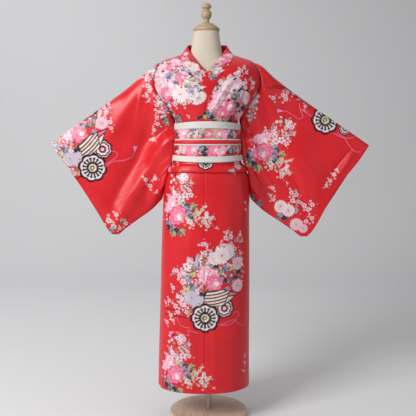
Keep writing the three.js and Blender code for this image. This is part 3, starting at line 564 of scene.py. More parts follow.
def sleeve_points(side, layer, longer, lower, spacing):
    down, point, towards = sleeve_ring(side, layer, spacing)
    (top_x, top_z), (bottom_x, bottom_z), (cuff_x, cuff_z) = (
        columns(table) for table in (SLEEVE_TOP, SLEEVE_BOTTOM, SLEEVE_CUFF))
    along = np.linspace(0, 1, in_strides(480, spacing) + 1)[:, None]
    mouth = np.sin(np.pi * clamp((down - 0.12) / 0.76)) ** 2 * (towards < 0)
    along = along * (1 - MOUTH[side] * mouth)

    def pull(line):
        return line(along) - mix(line(0), line(1), along)

    def blend(inner, cuff, top, bottom, corner):
        return (mix(inner, cuff, along) + (1 - down) * pull(top) + down * pull(bottom)
                + corner * along)

    inner_x = side * (point[:, 0] - BODICE_X)
    x = blend(inner_x, cuff_x(down), top_x, bottom_x, longer)
    z = blend(point[:, 2], cuff_z(down), top_z, bottom_z, -lower)
    full = curve(SLEEVE_FULL)(down) * mix(1, SLEEVE_CUFF_SHARE, along)
    fold = fold_height(SLEEVE_FOLDS, along, down) * np.sin(np.pi * clamp(down))
    hung = RIDGE_Y + towards * (full + np.where(towards < 0, fold, 0.5 * fold))
    y = mix(point[:, 1], hung, smooth(along / HANG_SHARE))
    return np.stack([BODICE_X + side * x, y, z], -1), along, towards


def sash_points(run, share, out):
    turn = LAP["start"] + run
    sine = np.sin(np.radians(turn))
    z = mix(OBI_BOTTOM + 7 * sine**2, OBI_TOP - 8 * sine**2, share)
    lap = LAP["lift"] * smooth((run - 360 + LAP["ramp"]) / LAP["ramp"])
    return section(z, obi_lift(z) + out + lap, turn)


# ------------------------------------------------------------------ cloth


PIECES = {  # what each CAD node's cloth is called here
    "front_left": "left_front_panel", "front_right": "right_front_panel",
    "back_left": "left_back_panel", "back_right": "right_back_panel",
    "okumi_left": "left_front_edge", "okumi_right": "right_front_edge",
    "collar": "folded_collar", "sleeve_left": "left_sleeve", "sleeve_right": "right_sleeve",
    "obi": "sash_cloth", "obi_band_top": "sash_band_top", "obi_band_bottom": "sash_band_bottom",
    "obijime": "sash_cord", "obijime_edge_top": "cord_edge_top",
    "obijime_edge_bottom": "cord_edge_bottom", "form_torso": "linen_form",
}


class Cloth:
    """One cloth: a fine grid of points, its folds, the dye on it (on the chest also a painted
    satin highlight), and its mesh.
    """

    def __init__(self, name, points, outward, loop=False):
        self.name = name
        self.points = points
        self.outward = outward
        self.loop = loop
        self.flat = np.stack([travelled(gaps(points, 1), 1), points[..., 2]], -1)
        self.colour = np.zeros(points.shape)
        self.cover = np.zeros(points.shape[:2])

    def normals(self):
        points = self.points
        up = np.gradient(points, axis=0)
        if self.loop:
            across = (np.roll(points, -1, axis=1) - np.roll(points, 1, axis=1)) / 2
        else:
            across = np.gradient(points, axis=1)
        normals = unit(np.cross(across, up))
        if (normals * self.outward(points)).sum() < 0:
            normals = -normals
        return normals

    def edge_distance(self, axis, end):
        """How far each point lies along the grid from one of its edges."""
        steps = gaps(self.points, axis)
        if not end:
            return travelled(steps, axis)
        return np.flip(travelled(np.flip(steps, axis), axis), axis)

    def lengthen_over_shoulder(self):
        """Above the sash, heights on the cloth follow its own length."""
        z = self.points[..., 2]
        extra = np.where(z[1:] >= BODICE_Z, gaps(self.points) - np.diff(z, axis=0), 0)
        self.flat[1:, :, 1] += np.cumsum(np.maximum(extra, 0), axis=0)

    def raise_by(self, height):
        self.points = self.points + self.normals() * height[..., None]

    def fold(self, folds, facing, calm=1.0):
        """Folds laid as seen from the front (facing -1) or from behind (1)."""
        x, z = self.points[..., 0], self.points[..., 2]
        seen = clamp((self.normals()[..., 1] * facing + 0.1) / 0.3)
        self.raise_by(fold_height(folds, x, z) * seen * calm)

    def seam(self, axis, end, depth, width, share=1.0):
        """A sewn edge lies in a soft valley."""
        self.raise_by(-depth * share * np.exp(-(self.edge_distance(axis, end) / width) ** 2))

    def build(self, wall, material, ridge=None):
        """The cloth as a closed wall: a fine face side and a coarser lining."""
        normals = self.normals()
        if ridge is not None:
            normals[ridge] *= (1, 0, 1)
            normals = unit(normals)
        n, m = self.points.shape[:2]
        outer = self.points + normals * wall / 2
        inner = (self.points - normals * wall / 2)[::STRIDE, ::STRIDE]
        rows, cols = inner.shape[:2]
        vertices = np.concatenate([outer.reshape(-1, 3), inner.reshape(-1, 3)]) * MM
        start = n * m

        def quads(rows, cols, first):
            last = cols if self.loop else cols - 1
            i, j = np.meshgrid(np.arange(rows - 1), np.arange(last), indexing="ij")
            a, b = first + i * cols + j, first + i * cols + (j + 1) % cols
            return np.stack([a, b, b + cols, a + cols], -1).reshape(-1, 4)

        face, lining = quads(n, m, 0), quads(rows, cols, start)[:, ::-1]
        middle = face[len(face) // 2]
        a, b, c = vertices[middle[:3]]
        flip = np.dot(np.cross(b - a, c - b), normals.reshape(-1, 3)[middle[0]]) < 0
        rims = []
        for end, direction in ((0, -1), (rows - 1, 1)):
            for j in range(cols if self.loop else cols - 1):
                fine = [end * STRIDE * m + (j * STRIDE + k) % m for k in range(STRIDE + 1)]
                pair = [start + end * cols + (j + 1) % cols, start + end * cols + j]
                rims.append((fine + pair)[::direction])
        for end, direction in () if self.loop else ((0, 1), (cols - 1, -1)):
            for i in range(rows - 1):
                fine = [(i * STRIDE + k) * m + end * STRIDE for k in range(STRIDE + 1)]
                pair = [start + (i + 1) * cols + end, start + i * cols + end]
                rims.append((fine + pair)[::direction])
        faces = [*face.tolist(), *lining.tolist(), *rims]
        if flip:
            faces = [loop[::-1] for loop in faces]
        piece = new_piece(PIECES[self.name], vertices.tolist(), faces, material)
        mesh = piece.data
        mesh.polygons.foreach_set("use_smooth", np.ones(len(faces), bool))

        # The printed colours and their cover, with a painted satin highlight among them on the
        # chest.
        dye = mesh.color_attributes.new("dye", "FLOAT_COLOR", "POINT")
        rgba = np.zeros((len(vertices), 4))
        rgba[:start, :3] = linear(self.colour.reshape(-1, 3))
        rgba[:start, 3] = self.cover.reshape(-1)
        dye.data.foreach_set("color", rgba.astype(np.float32).ravel())
        weave = [part.reshape(-1, 2) for part in (self.flat, self.flat[::STRIDE, ::STRIDE])]
        weave = np.concatenate(weave) * MM
        loops = np.empty(len(mesh.loops), np.int32)
        mesh.loops.foreach_get("vertex_index", loops)
        layer = mesh.uv_layers.new(name="weave")
        layer.data.foreach_set("uv", weave[loops].astype(np.float32).ravel())
        mesh.update()
        return piece


def link_new(name, data):
    piece = bpy.data.objects.new(name, data)
    bpy.context.scene.collection.objects.link(piece)
    return piece


def new_piece(name, vertices, faces, material):
    mesh = bpy.data.meshes.new(name)
    mesh.from_pydata(vertices, [], faces)
    mesh.materials.append(material)
    return link_new(name, mesh)


def linear(colour):
    colour = np.asarray(colour, float)
    return np.where(colour <= 0.04045, colour / 12.92, ((colour + 0.055) / 1.055) ** 2.4)


def around_torso(points):
    """The level way out from the torso's axis."""
    return (points - (BODICE_X, 0, 0)) * (1, 1, 0)


# ------------------------------------------------------------------ dyed motifs, and a painted satin highlight

INK = {
    "white": (0.93, 0.89, 0.90), "blush": (0.93, 0.76, 0.80), "pink": (0.91, 0.38, 0.56),
    "rose": (0.83, 0.24, 0.38), "lilac": (0.77, 0.72, 0.79), "grey": (0.62, 0.59, 0.66),
    "cream": (0.93, 0.88, 0.78), "slate": (0.40, 0.43, 0.52),
    "night": (0.11, 0.11, 0.18), "moss": (0.46, 0.48, 0.34), "ochre": (0.66, 0.57, 0.37),
    "black": (0.07, 0.05, 0.05), "maroon": (0.22, 0.04, 0.05), "cord": (0.92, 0.45, 0.60),
    "tassel": (0.93, 0.48, 0.78), "shade": (0.74, 0.50, 0.58),
}
INK = {name: np.array(colour) for name, colour in INK.items()}


class Dye:
    """Lays motifs on one cloth, in its own flat millimetres."""

    def __init__(self, piece, facing, grid):
        self.edge = grid
        self.x, self.y, self.z = piece.points.reshape(-1, 3).T
        self.a, self.b = piece.flat.reshape(-1, 2).T
        normals = piece.normals().reshape(-1, 3)
        self.open = normals[:, 1] * facing > -0.15
        self.colour = piece.colour.reshape(-1, 3)
        self.cover = piece.cover.reshape(-1)

    def at(self, x, z):
        """The flat place of a point seen from the front or from behind."""
        away = (self.x - x) ** 2 + (self.z - z) ** 2 + np.where(self.open, 0, 1e9)
        k = int(np.argmin(away))
        return self.a[k] + x - self.x[k], self.b[k] + z - self.z[k]

    def near(self, centre, reach, turn=0.0):
        """The points within reach of a flat place, in its own turned directions."""
        du, dv = self.a - centre[0], self.b - centre[1]
        found = np.flatnonzero((np.abs(du) < reach) & (np.abs(dv) < reach) & self.open)
        c, s = math.cos(math.radians(turn)), math.sin(math.radians(turn))
        du, dv = du[found], dv[found]
        return found, c * du + s * dv, c * dv - s * du

    def polar(self, centre, reach, turn):
        """The same, with their distance and angle from the place."""
        found, u, v = self.near(centre, reach, turn)
        return found, u, v, np.hypot(u, v), np.arctan2(v, u)

    def lay(self, found, colour, distance, strength=1.0):
        """Covers points with an ink or colours by their signed distance to an outline."""
        colour = INK[colour] if isinstance(colour, str) else colour
        alpha = (strength * clamp(0.5 - distance / self.edge))[:, None]
        cover = self.cover[found][:, None]
        total = alpha + (1 - alpha) * cover
        blended = colour * alpha + self.colour[found] * cover * (1 - alpha)
        self.colour[found] = blended / np.maximum(total, 1e-6)
        self.cover[found] = total[:, 0]

    def line(self, points, width, ink, strength=1.0):
        """A drawn line through flat places, rounded by a spline."""
        fine = spline(points, lambda length: 1 + int(length / 4))
        for (a0, b0), (a1, b1) in zip(fine[:-1], fine[1:]):
            middle = ((a0 + a1) / 2, (b0 + b1) / 2)
            found, u, v = self.near(middle, width + 6)
            if len(found):
                du, dv = a1 - a0, b1 - b0
                pu, pv = u + du / 2, v + dv / 2
                t = clamp((pu * du + pv * dv) / (du * du + dv * dv))
                away = np.hypot(pu - t * du, pv - t * dv)
                self.lay(found, ink, away - width / 2, strength)

    def layers(self, found, *rows):
        for row in rows:
            self.lay(found, *row)


def lobes(angle, count, depth, power=0.7):
    return 1 - depth + depth * np.abs(np.cos(count * angle / 2)) ** power


def grain(u, v):
    """A hand-dyed unevenness, the same each time."""
    return 1 + 0.07 * np.sin(u * 1.7 + v * 0.9) * np.sin(v * 1.3 - u * 0.6)


def peony(dye, centre, r, turn, rim, heart, line, core="white"):
    """Ruffled petals in rings that drift off centre and pale towards the core."""
    found, u, v = dye.near(centre, r * 1.1, turn)
    for k, (scale, count) in enumerate(((1.0, 9), (0.8, 7), (0.6, 6), (0.42, 5))):
        du, dv = u - 0.07 * k * r, v + 0.06 * k * r
        rho, angle = np.hypot(du, dv), np.arctan2(dv, du) + 0.7 * k
        outline = r * scale * lobes(angle, count, 0.24) * (1 + 0.11 * np.sin(2 * angle + 2 * k))
        t = clamp(rho / outline)[:, None] ** 5 * 0.75
        rays = (0.5 + 0.5 * np.cos(angle * count * 3 + k))[:, None]
        inner = mix(INK[heart], INK[core], 0.8 * (k / 3) ** 1.2)
        tone = mix(mix(inner, INK[rim], t) * grain(u, v)[:, None], INK[line], 0.14 * rays * t)
        dye.layers(found, (line, rho - outline), (tone, rho - outline + 0.045 * r + 0.7))
    dye.lay(found, "cream", rho - 0.16 * r * lobes(angle, 5, 0.4), 0.9)


def chrysanthemum(dye, centre, r, turn, tip, base, line):
    found, u, v, rho, angle = dye.polar(centre, r * 1.05, turn)
    for k, (scale, count) in enumerate(((1.0, 15), (0.72, 13), (0.44, 9))):
        outline = r * scale * lobes(angle + k * 0.2, count, 0.2)
        gap = rho * np.abs(np.sin((count * (angle + k * 0.2) - math.pi) / 2)) * 2 / count
        tone = mix(INK[base], INK[tip], clamp(rho / outline)[:, None]) * grain(u, v)[:, None]
        dye.layers(found, (line, rho - outline, 0.8), (tone, rho - outline + 0.8),
                   (line, np.maximum(gap - 0.7, rho - outline), 0.85))
    dye.lay(found, "ochre", rho - 0.13 * r)


def blossom(dye, centre, r, turn, petal, heart, count=5, depth=0.42):
    found, u, v, rho, angle = dye.polar(centre, r * 1.3, turn)
    outline = 1.12 * r * lobes(angle, count, depth, 0.75)
    t = clamp(rho / outline * 1.5 - 0.25)[:, None]
    dye.lay(found, mix(INK[heart], INK[petal], t) * grain(u, v)[:, None], rho - outline)
    if r > 5:
        notch = rho * np.abs(np.cos(count * angle / 2)) * 2 / count
        dye.lay(found, heart, np.maximum(notch - 0.5, rho - outline), 0.8)
    dye.lay(found, "maroon" if count == 5 else "moss", rho - 0.12 * r - 0.2, 0.35)


def sprig(dye, centre, r, turn, petal, heart, count=5, depth=0.42):
    """An open flower with smaller ones and a loose petal round it."""
    for step, away, size in ((0, 0, 0.72), (70, 1.35, 0.36), (205, 1.5, 0.32), (320, 1.6, 0.16)):
        angle = math.radians(turn * 1.7 + step)
        place = (centre[0] + away * r * math.cos(angle), centre[1] + away * r * math.sin(angle))
        blossom(dye, place, size * r, turn + step, petal, heart, count, depth)


def leaf(dye, centre, r, turn, body, vein):
    """Three leaflets fanned from one stalk."""
    r = 0.86 * r
    for spread, length in ((38, 0.85), (-38, 0.85), (0, 1.0)):
        found, u, v = dye.near(centre, r * 1.1, turn + spread)
        t = clamp(u / (r * length))
        half = 0.25 * r * np.sin(np.pi * t**0.8) ** 0.8
        outline = np.maximum(np.abs(v) - half, np.maximum(-u, u - r * length))
        tone = INK[body] * (1 + 0.3 * np.sign(v) * (np.abs(v) > 0.5))[:, None]
        dye.layers(found, ("cream", outline - 0.5, 0.5), (np.clip(tone, 0, 1), outline),
                   (vein, np.maximum(np.abs(v) - 0.45, outline + 0.8), 0.7))


def petal(dye, centre, r, turn, ink):
    """One loose petal."""
    found, u, v = dye.near(centre, r * 1.1, turn)
    dye.lay(found, INK[ink] * grain(u, v)[:, None], np.hypot(u, v * 2.1) - r)


def wash(dye, centre, r, turn, ink, depth=0.75):
    """A soft cloud of colour with a ragged edge, wider than it is high: dye, and in white down
    the chest's armhole side a painted satin highlight.
    """
    found, u, v = dye.near(centre, r * 1.3, turn)
    rho, angle = np.hypot(u, v * 1.7), np.arctan2(v, u)
    outline = r * (0.86 + 0.1 * np.sin(5 * angle + r) + 0.08 * np.sin(9 * angle))
    cloudy = 0.7 + 0.3 * np.sin(u * 0.23 + 1) * np.sin(v * 0.31)
    strength = depth * cloudy * smooth((outline - rho) / (0.25 * r))
    dye.lay(found, ink, -dye.edge + 0 * rho, strength)


def wheel(dye, centre, r, turn):
    """A cart wheel with a wavy rim, pegged spokes and a serrated hub."""
    found, _, _, rho, angle = dye.polar(centre, r * 1.05, turn)
    wave = lobes(angle, 8, 0.14, 0.8)
    count = 16
    hub = lobes(angle, count, 0.16)
    swing = (angle * count / (2 * math.pi) + 0.5) % 1 - 0.5
    spoke = rho * np.abs(np.sin(swing * 2 * math.pi / count))
    petals = 0.5 + 0.5 * np.cos(8 * angle)
    tint = mix(INK["white"], INK["pink"], (0.75 * clamp(rho / r * 5 - 3.4) * petals)[:, None])
    peg = np.maximum(spoke - 0.085 * r, np.abs(rho - 0.63 * r) - 0.045 * r)
    curl = 0.07 + 0.014 * ((angle + 2.0) % (2 * math.pi))
    dye.layers(found, ("black", rho - 0.98 * r * wave), (tint, rho - 0.83 * r * wave),
               ("white", rho - 0.75 * r * wave),
               ("black", np.maximum(spoke - 0.05 * r, rho - 0.67 * r)), ("black", peg),
               ("black", rho - 0.43 * r * hub), ("cream", rho - 0.28 * r * hub),
               ("ochre", np.abs(rho - 0.235 * r) - 0.018 * r, 0.7),
               ("black", np.abs(rho - curl * r) - 0.036 * r))


def far_wheel(dye, centre, r, turn):
    """The rim of the cart's other wheel."""
    found, _, _, rho, angle = dye.polar(centre, r * 1.05, turn)
    wave = lobes(angle, 8, 0.16, 0.8)
    for size, ink in ((1.0, "black"), (0.84, "blush"), (0.72, "black"), (0.6, "white"),
                      (0.42, "pink"), (0.34, "black"), (0.2, "blush")):
        dye.lay(found, ink, rho - size * r * wave)


def cart(dye, centre, r, turn):
    """The cart's body: a hull of curved strakes with a pointed bow."""
    found, u, v = dye.near(centre, r * 1.15, turn)
    u, v = u / r, v / r
    run = np.maximum(u - 0.1, 0)
    outline = r * np.maximum(np.maximum(v - 0.44 + 0.28 * run, -0.42 + 0.6 * run - v),
                             -0.92 + 0.35 * v - u)
    strake = (v - 0.22 * u - 0.16 * u * u) / 0.17 + 0.4
    odd = (np.floor(strake) % 2)[:, None]
    tone = mix(INK["cream"], INK["blush"], odd) * grain(u * r, v * r)[:, None]
    frame = (0.5 - np.abs((strake % 1) - 0.5)) * 0.17 * r - 2.1
    bow = np.maximum(0.3 - u + 0.5 * v, outline / r)
    ribs = np.abs(((v - 0.5 * u) / 0.12) % 1 - 0.5) - 0.36
    dye.layers(found, ("black", outline), (tone, outline + 2),
               ("black", np.maximum(frame, outline + 1)), ("black", r * bow),
               ("pink", r * np.maximum(bow + 0.05, 0.07 - v)),
               ("cream", r * np.maximum(bow + 0.05, v - 0.02)),
               ("grey", r * np.maximum(-0.12 * ribs, np.maximum(bow + 0.07, v)), 0.8))


def tassel(dye, centre, r, turn):
    found, u, v, rho, _ = dye.polar(centre, r * 1.1, turn)
    outline = np.maximum(np.abs(v) - 0.1 * r - 0.34 * np.maximum(u, 0), np.maximum(-u, u - r))
    thread = (0.5 + 0.5 * np.sin(v * 2.4))[:, None]
    dye.layers(found, (mix(INK["tassel"], INK["blush"], 0.35 * thread), outline),
               ("blush", rho - 0.13 * r))


def pole_of_cart(dye, centre, r, turn):
    found, u, v = dye.near(centre, r * 2.2, turn)
    dye.lay(found, "maroon", np.maximum(np.abs(v) - 1.9, np.maximum(-u, u - r)), 0.95)


MOTIFS = {
    "peony": (peony, "blush", "pink", "rose"),
    "pale_peony": (peony, "white", "blush", "pink"),
    "deep_peony": (peony, "pink", "rose", "maroon", "blush"),
    "mum": (chrysanthemum, "white", "cream", "shade"),
    "pale_mum": (chrysanthemum, "blush", "white", "shade"),
    "grey_mum": (chrysanthemum, "lilac", "white", "grey"),
    "plum": (sprig, "white", "shade"), "bud": (blossom, "white", "lilac"),
    "lilac": (sprig, "lilac", "slate"), "haze": (blossom, "lilac", "grey"),
    "cream": (sprig, "cream", "grey", 6, 0.45),
    "slate": (leaf, "slate", "white"), "night": (leaf, "night", "slate"),
    "moss": (leaf, "moss", "cream"), "ochre": (leaf, "ochre", "moss"),
    "petal": (petal, "white"), "lilac_petal": (petal, "lilac"), "pink_petal": (petal, "pink"),
    # The white wash lays white dye, and down the chest's armhole side a painted satin highlight.
    "chip": (petal, "night"), "straw": (petal, "ochre"), "white_wash": (wash, "white"),
    "pink_wash": (wash, "pink", 0.6), "lilac_wash": (wash, "lilac", 0.6),
    "cream_peony": (peony, "cream", "ochre", "pink"),
    "wheel": (wheel,), "small_wheel": (far_wheel,), "cart": (cart,), "tassel": (tassel,),
    "shaft": (pole_of_cart,),
}
LITTER = ["bud", "petal", "haze", "slate", "bud", "pink_petal", "chip", "night", "petal", "bud",
          "lilac_petal", "moss", "bud", "chip", "straw", "slate", "petal"]


def lay_motif(dye, kind, place, size, turn):
    draw, *inks = MOTIFS[kind]
    draw(dye, place, size, turn, *inks)


def own_turn(own, across, up):
    """A motif's stated turn, or else one that varies with its place."""
    return own[0] if own else (across * 37 + up * 17) % 72


def spray(dye, rows, x, z, turn=0.0, mirror=1, scale=1.0):
    """Lays a group of motifs round one point, turned with the cloth."""
    a, b = dye.at(x, z)
    c, s = math.cos(math.radians(turn)), math.sin(math.radians(turn))
    for du, dv, wide, high, lean, count in CART_LITTER if rows is FLOWER_CART else SPRAY_LITTER:
        du, dv = mirror * du * scale, dv * scale
        litter(dye, [(x + c * du - s * dv, z + s * du + c * dv, wide * scale, high * scale,
                      mirror * lean + turn, count)])
    for kind, du, dv, size, *own in rows:
        own = own_turn(own, du, dv)
        du, dv = du * (mirror * scale), dv * scale
        lay_motif(dye, kind, (a + c * du - s * dv, b + s * du + c * dv), size * scale,
                  (180 - own if mirror < 0 else own) + turn)


def scatter(dye, rows):
    """Lays motifs at places seen from the front or from behind."""
    for kind, x, z, size, *own in rows:
        lay_motif(dye, kind, dye.at(x, z), size, own_turn(own, x, z))


def litter(dye, rows, share=1.0, phase=0):
    """Fills ovals with small flowers, petals and leaf tips, spun out like seeds."""
    for x, z, wide, high, turn, count in rows:
        c, s = math.cos(math.radians(turn)), math.sin(math.radians(turn))
        for k in range(int(count * share)):
            rho, angle = math.sqrt((k + 0.5) / (count * share)), SEED_TURN * k + phase
            du, dv = wide * rho * math.cos(angle), high * rho * math.sin(angle)
            size = 3.6 + 4.8 * ((k + phase) * 0.618 % 1)
            kind = LITTER[(k * 7 + phase) % len(LITTER)]
            size *= 1.7 if kind in ("slate", "night", "moss") else 1
            place = dye.at(x + c * du - s * dv, z + s * du + c * dv)
            lay_motif(dye, kind, place, size, (k * 97) % 360)


def cords(dye, lines, ink="cord", width=2.4):
    for points in lines:
        dye.line([dye.at(x, z) for x, z in points], width, ink, 0.8)


# Groups of motifs, in millimetres and degrees: the first two round their own main motif, the
# rest at their places on the worn kimono.
PEONY_SPRAY = motif_rows("""
    slate -37 -22 30 250; night -33 -41 30 230; slate -19 -41 30 270; night -7 -48 30 290;
    moss 11 -56 33 320, -15 -59 30 250; ochre 7 37 33 30; night 33 30 30 40; slate 30 22 30 10;
    night 48 0 30 -10; slate 41 4 26 20; moss 59 30 30 30; ochre 71 15 22 0; plum 11 145 9.5,
    37 141 12, 19 126 11; lilac 41 111 11; plum 59 123 7.5; lilac -22 97 11; plum -11 85 12,
    48 97 9, 33 78 17, 56 78 12, 19 63 15, 4 74 13, -15 67 13; lilac 26 48 11; plum -37 71 11;
    ochre 22 100 19 80; cream 52 -22 15, 41 -11 9.5, 63 -33 9.5, 82 7 11, 97 22 9.5, 71 -4 9,
    104 -22 12, 123 -11 11, 115 -37 11, 134 -4 7.5, 108 37 6.5, 85 -11 5.5, 149 -45 5.5;
    pale_peony -48 26 19, -26 45 28; peony 0 0 39
""")
FLOWER_CART = motif_rows("""
    shaft -167 26 119 0, -167 6 119 -3; slate -22 197 30 150; ochre -37 178 33 200,
    -63 119 33 210; slate -41 126 33 230, -52 149 33 170; night -7 97 30 250, 4 104 30 290;
    slate 30 100 33 350; night 52 97 30 340; ochre 22 108 26 20, -71 97 26 200;
    night 74 219 30 30; slate 41 208 37 200; night 48 204 26 220; slate 71 197 33 300;
    night 126 178 30 330; ochre 97 178 30 20; moss 59 182 30 240; slate 67 156 30 200;
    night 78 152 26 280; moss 89 134 33 40; slate 78 115 30 300; night 115 145 26 30;
    slate 115 227 26 60; plum -56 208 15, -71 197 15, -33 208 11; lilac -123 171 11;
    plum -111 178 11, -100 160 11, -78 178 11; lilac -67 160 12; plum -85 137 15, -52 223 9.5,
    85 327 9.5, 78 305 12, 100 308 12, 141 312 9.5; lilac 130 293 9.5; plum 149 290 7.5,
    63 275 9.5, 100 282 9.5; lilac 85 267 11; plum 115 260 12, -7 282 12, 7 279 8, 0 249 11,
    22 256 9.5; lilac 11 238 11; plum 145 241 9.5; mum 37 227 26, 89 249 26, 63 238 33;
    pale_mum 130 204 26, 130 119 26; pale_peony 0 167 33; deep_peony 97 160 19;
    pale_peony 30 160 26; peony 33 130 35; grey_mum -52 78 28, -22 56 32; plum -82 97 9.5,
    -97 78 11, -78 71 11, -126 111 11, -145 59 11, -163 48 8, -115 41 13, -89 48 11, -71 22 11,
    -104 19 11, -137 4 11, -126 -15 9, -156 -26 11; ochre -45 22 26 200; small_wheel 74 36 40;
    cart 62 76 71 3; wheel 0 0 59
""")
CHEST_RIGHT_HAND = motif_rows("""
    peony -120 1300 30; lilac -150 1330 22; grey_mum -132 1345 24; slate -157 1332 37 20,
    -116 1318 33 60; night -124 1300 26 40; moss -68 1310 30 60; ochre -91 1296 26 10;
    slate -20 1292 33 300; moss -35 1281 30 20; slate -72 1274 33 330, -13 1259 30 250;
    moss -149 1376 26 120; ochre -127 1347 26 30; slate -76 1340 26 80; night -157 1226 30 260;
    slate -154 1241 30 280; night -143 1208 30 250; moss -158 1201 33 300; night -139 1186 33 300;
    moss -128 1201 30 260; slate -172 1215 26 250; ochre -143 1175 26 280; pale_mum -168 1368 22;
    pale_peony -123 1390 26, -179 1340 22; peony -138 1365 26; lilac -94 1354 19;
    plum -79 1332 15; peony -102 1329 22; pale_mum -179 1296 26; pale_peony -150 1303 22;
    peony -161 1267 30; pale_peony -131 1281 26; mum -105 1267 35, -39 1252 33;
    pale_peony -180 1245 22; plum -68 1303 15; lilac -46 1296 15; plum -91 1234 13, -124 1230 11;
    lilac -61 1274 13; plum -43 1219 9, -69 1182 9, -20 1318 11, -187 1201 11, -184 1175 11;
    wheel -113 1175 26
""")
CHEST_LEFT_HAND = motif_rows("""
    moss 16 1267 26 30; slate 57 1303 30 210; night 109 1288 33 350; slate 87 1285 33 10;
    ochre 90 1263 30 300; slate 101 1270 30 280; night 94 1252 30 270, 109 1237 30 260,
    131 1226 30 280, 142 1212 26 280; moss 105 1208 30 260; night 2 1201 37 250;
    slate 13 1208 33 240; moss -9 1175 26 80; night 24 1182 30 200; ochre 39 1186 30 210;
    night 76 1175 30 330; moss 54 1175 26 300; slate 138 1252 30 70; plum 42 1314 11;
    mum 72 1296 26; pale_mum 101 1307 28; plum 120 1354 13, 134 1365 10, 105 1336 10, 142 1347 9,
    138 1310 10, 168 1310 11, 160 1292 9, 175 1267 9, 156 1325 7; pale_mum 142 1256 22;
    pale_peony 39 1252 33, 20 1223 26; peony 76 1219 33, 46 1197 22; pale_peony 117 1186 19;
    plum 135 1179 11, 9 1285 11
""")
COLLAR_PRINT = motif_rows("""
    slate 28 1330 30 350; ochre 20 1345 22 30; night 9 1356 19 60; plum 31 1370 11, 42 1352 12,
    16 1359 11; lilac -2 1370 9; pale_peony 76 1414 22; peony 57 1396 28; plum 35 1385 11;
    peony -102 1403 22; mum -69 1370 30; lilac -46 1341 19; plum -35 1319 13, -20 1345 11;
    pale_peony -87 1421 15; moss -46 1312 22 300; slate -17 1297 26 300, 2 1209 30 240;
    night -6 1187 26 250; slate -34 1284 26 280; night -26 1272 20 250; mum -40 1250 27;
    lilac -44 1296 13
""")
SASH_FLOWERS = motif_rows("""
    night -122 1112 24 60; ochre -70 1116 30 20; moss -26 1120 38 15; slate -50 1134 22 200;
    night 78 1108 30 60; slate 92 1128 28 200; moss 12 1134 24 300; pale_peony -96 1122 22;
    plum -112 1132 12, -78 1134 11, -76 1110 10; peony 0 1118 17; cream_peony 34 1122 25;
    pale_peony 60 1118 17; plum 98 1114 12, 118 1126 11, -44 1112 9; night -126 1056 26 70;
    moss -100 1066 30 40; cream -112 1052 13; night -30 1060 34 10; slate -18 1072 30 200;
    night -14 1050 28 300, 74 1062 34 330; slate 86 1050 28 100; moss 100 1070 24 40;
    pale_peony -88 1062 17; peony -64 1058 27, 20 1060 28; pale_peony 50 1056 20;
    plum 112 1058 12, 124 1068 10, -44 1072 10
""")
RIGHT_SLEEVE = motif_rows("""
    plum -223 1370 15, -242 1356 11, -235 1337 10, -258 1337 8, -231 1303 12, -224 1284 11,
    -235 1265 10, -228 1246 7, -193 1257 11, -197 1231 11, -194 1204 10, -198 1182 9,
    -194 1159 10, -210 1136 10, -214 1101 10, -242 944 11, -227 920 10, -207 951 10, -200 897 7;
    cream -391 784 15, -372 760 15, -360 807 11; moss -344 780 22 20; cream -325 772 11;
    slate -388 752 26 320; cream -349 752 9; plum -404 1223 11, -385 1235 9, -420 1204 11,
    -393 1204 11, -401 1182 11, -378 1166 11, -374 1143 9; tassel -287 1054 20 80
""")
TUCK_AND_SIDES = motif_rows("""
    tassel -136 366 18 205; wheel -11 1020 36 0; plum -150 1016 11, -135 1009 10, -117 1020 11,
    -150 994 9; pale_mum 109 1005 19; plum 131 1013 11, 91 983 10; tassel -143 976 19 120;
    plum 141 861 7, 142 834 7, 141 261 7, 141 233 8, 137 205 7
""")
LEFT_SLEEVE = motif_rows("""
    plum 247 1257 11, 285 1269 11, 296 1254 12, 304 1280 9, 327 1276 9, 373 1227 9;
    lilac 350 1254 7; slate 208 846 30 150, 180 870 26 140; ochre 262 823 30 20;
    slate 270 807 30 320; night 290 800 30 330, 321 780 30 320; plum 250 912 10, 242 882 8,
    254 866 10, 324 893 12, 343 885 12, 328 862 12, 351 858 10, 406 846 12, 375 842 12,
    390 827 12; lilac 340 823 15; plum 383 780 11, 406 792 11; mum 282 839 26, 313 823 26;
    pale_mum 344 768 26, 372 752 19; plum 489 963 10, 474 940 10, 500 982 7, 459 920 9;
    wheel 451 1174 58 0; small_wheel 528 1140 26 0; tassel 280 1208 18 175
""")

# Ovals as place, half width, half height, turn and number of motifs.
CHEST_LITTER = {
    "front_right": rows_of("""
    -184 1318 18 84 0 60, -160 1320 34 88 0 60, -106 1334 64 56 -20 110, -57 1296 49 45 -35 80,
    -35 1263 37 37 -30 40, -149 1202 19 46 10 26, -83 1252 60 26 0 40"""),
    "front_left": rows_of("""
    68 1292 56 34 25 60, 50 1215 52 49 20 76, 117 1253 34 60 0 50, 129 1187 34 34 0 30,
    102 1326 30 26 0 14"""),
}
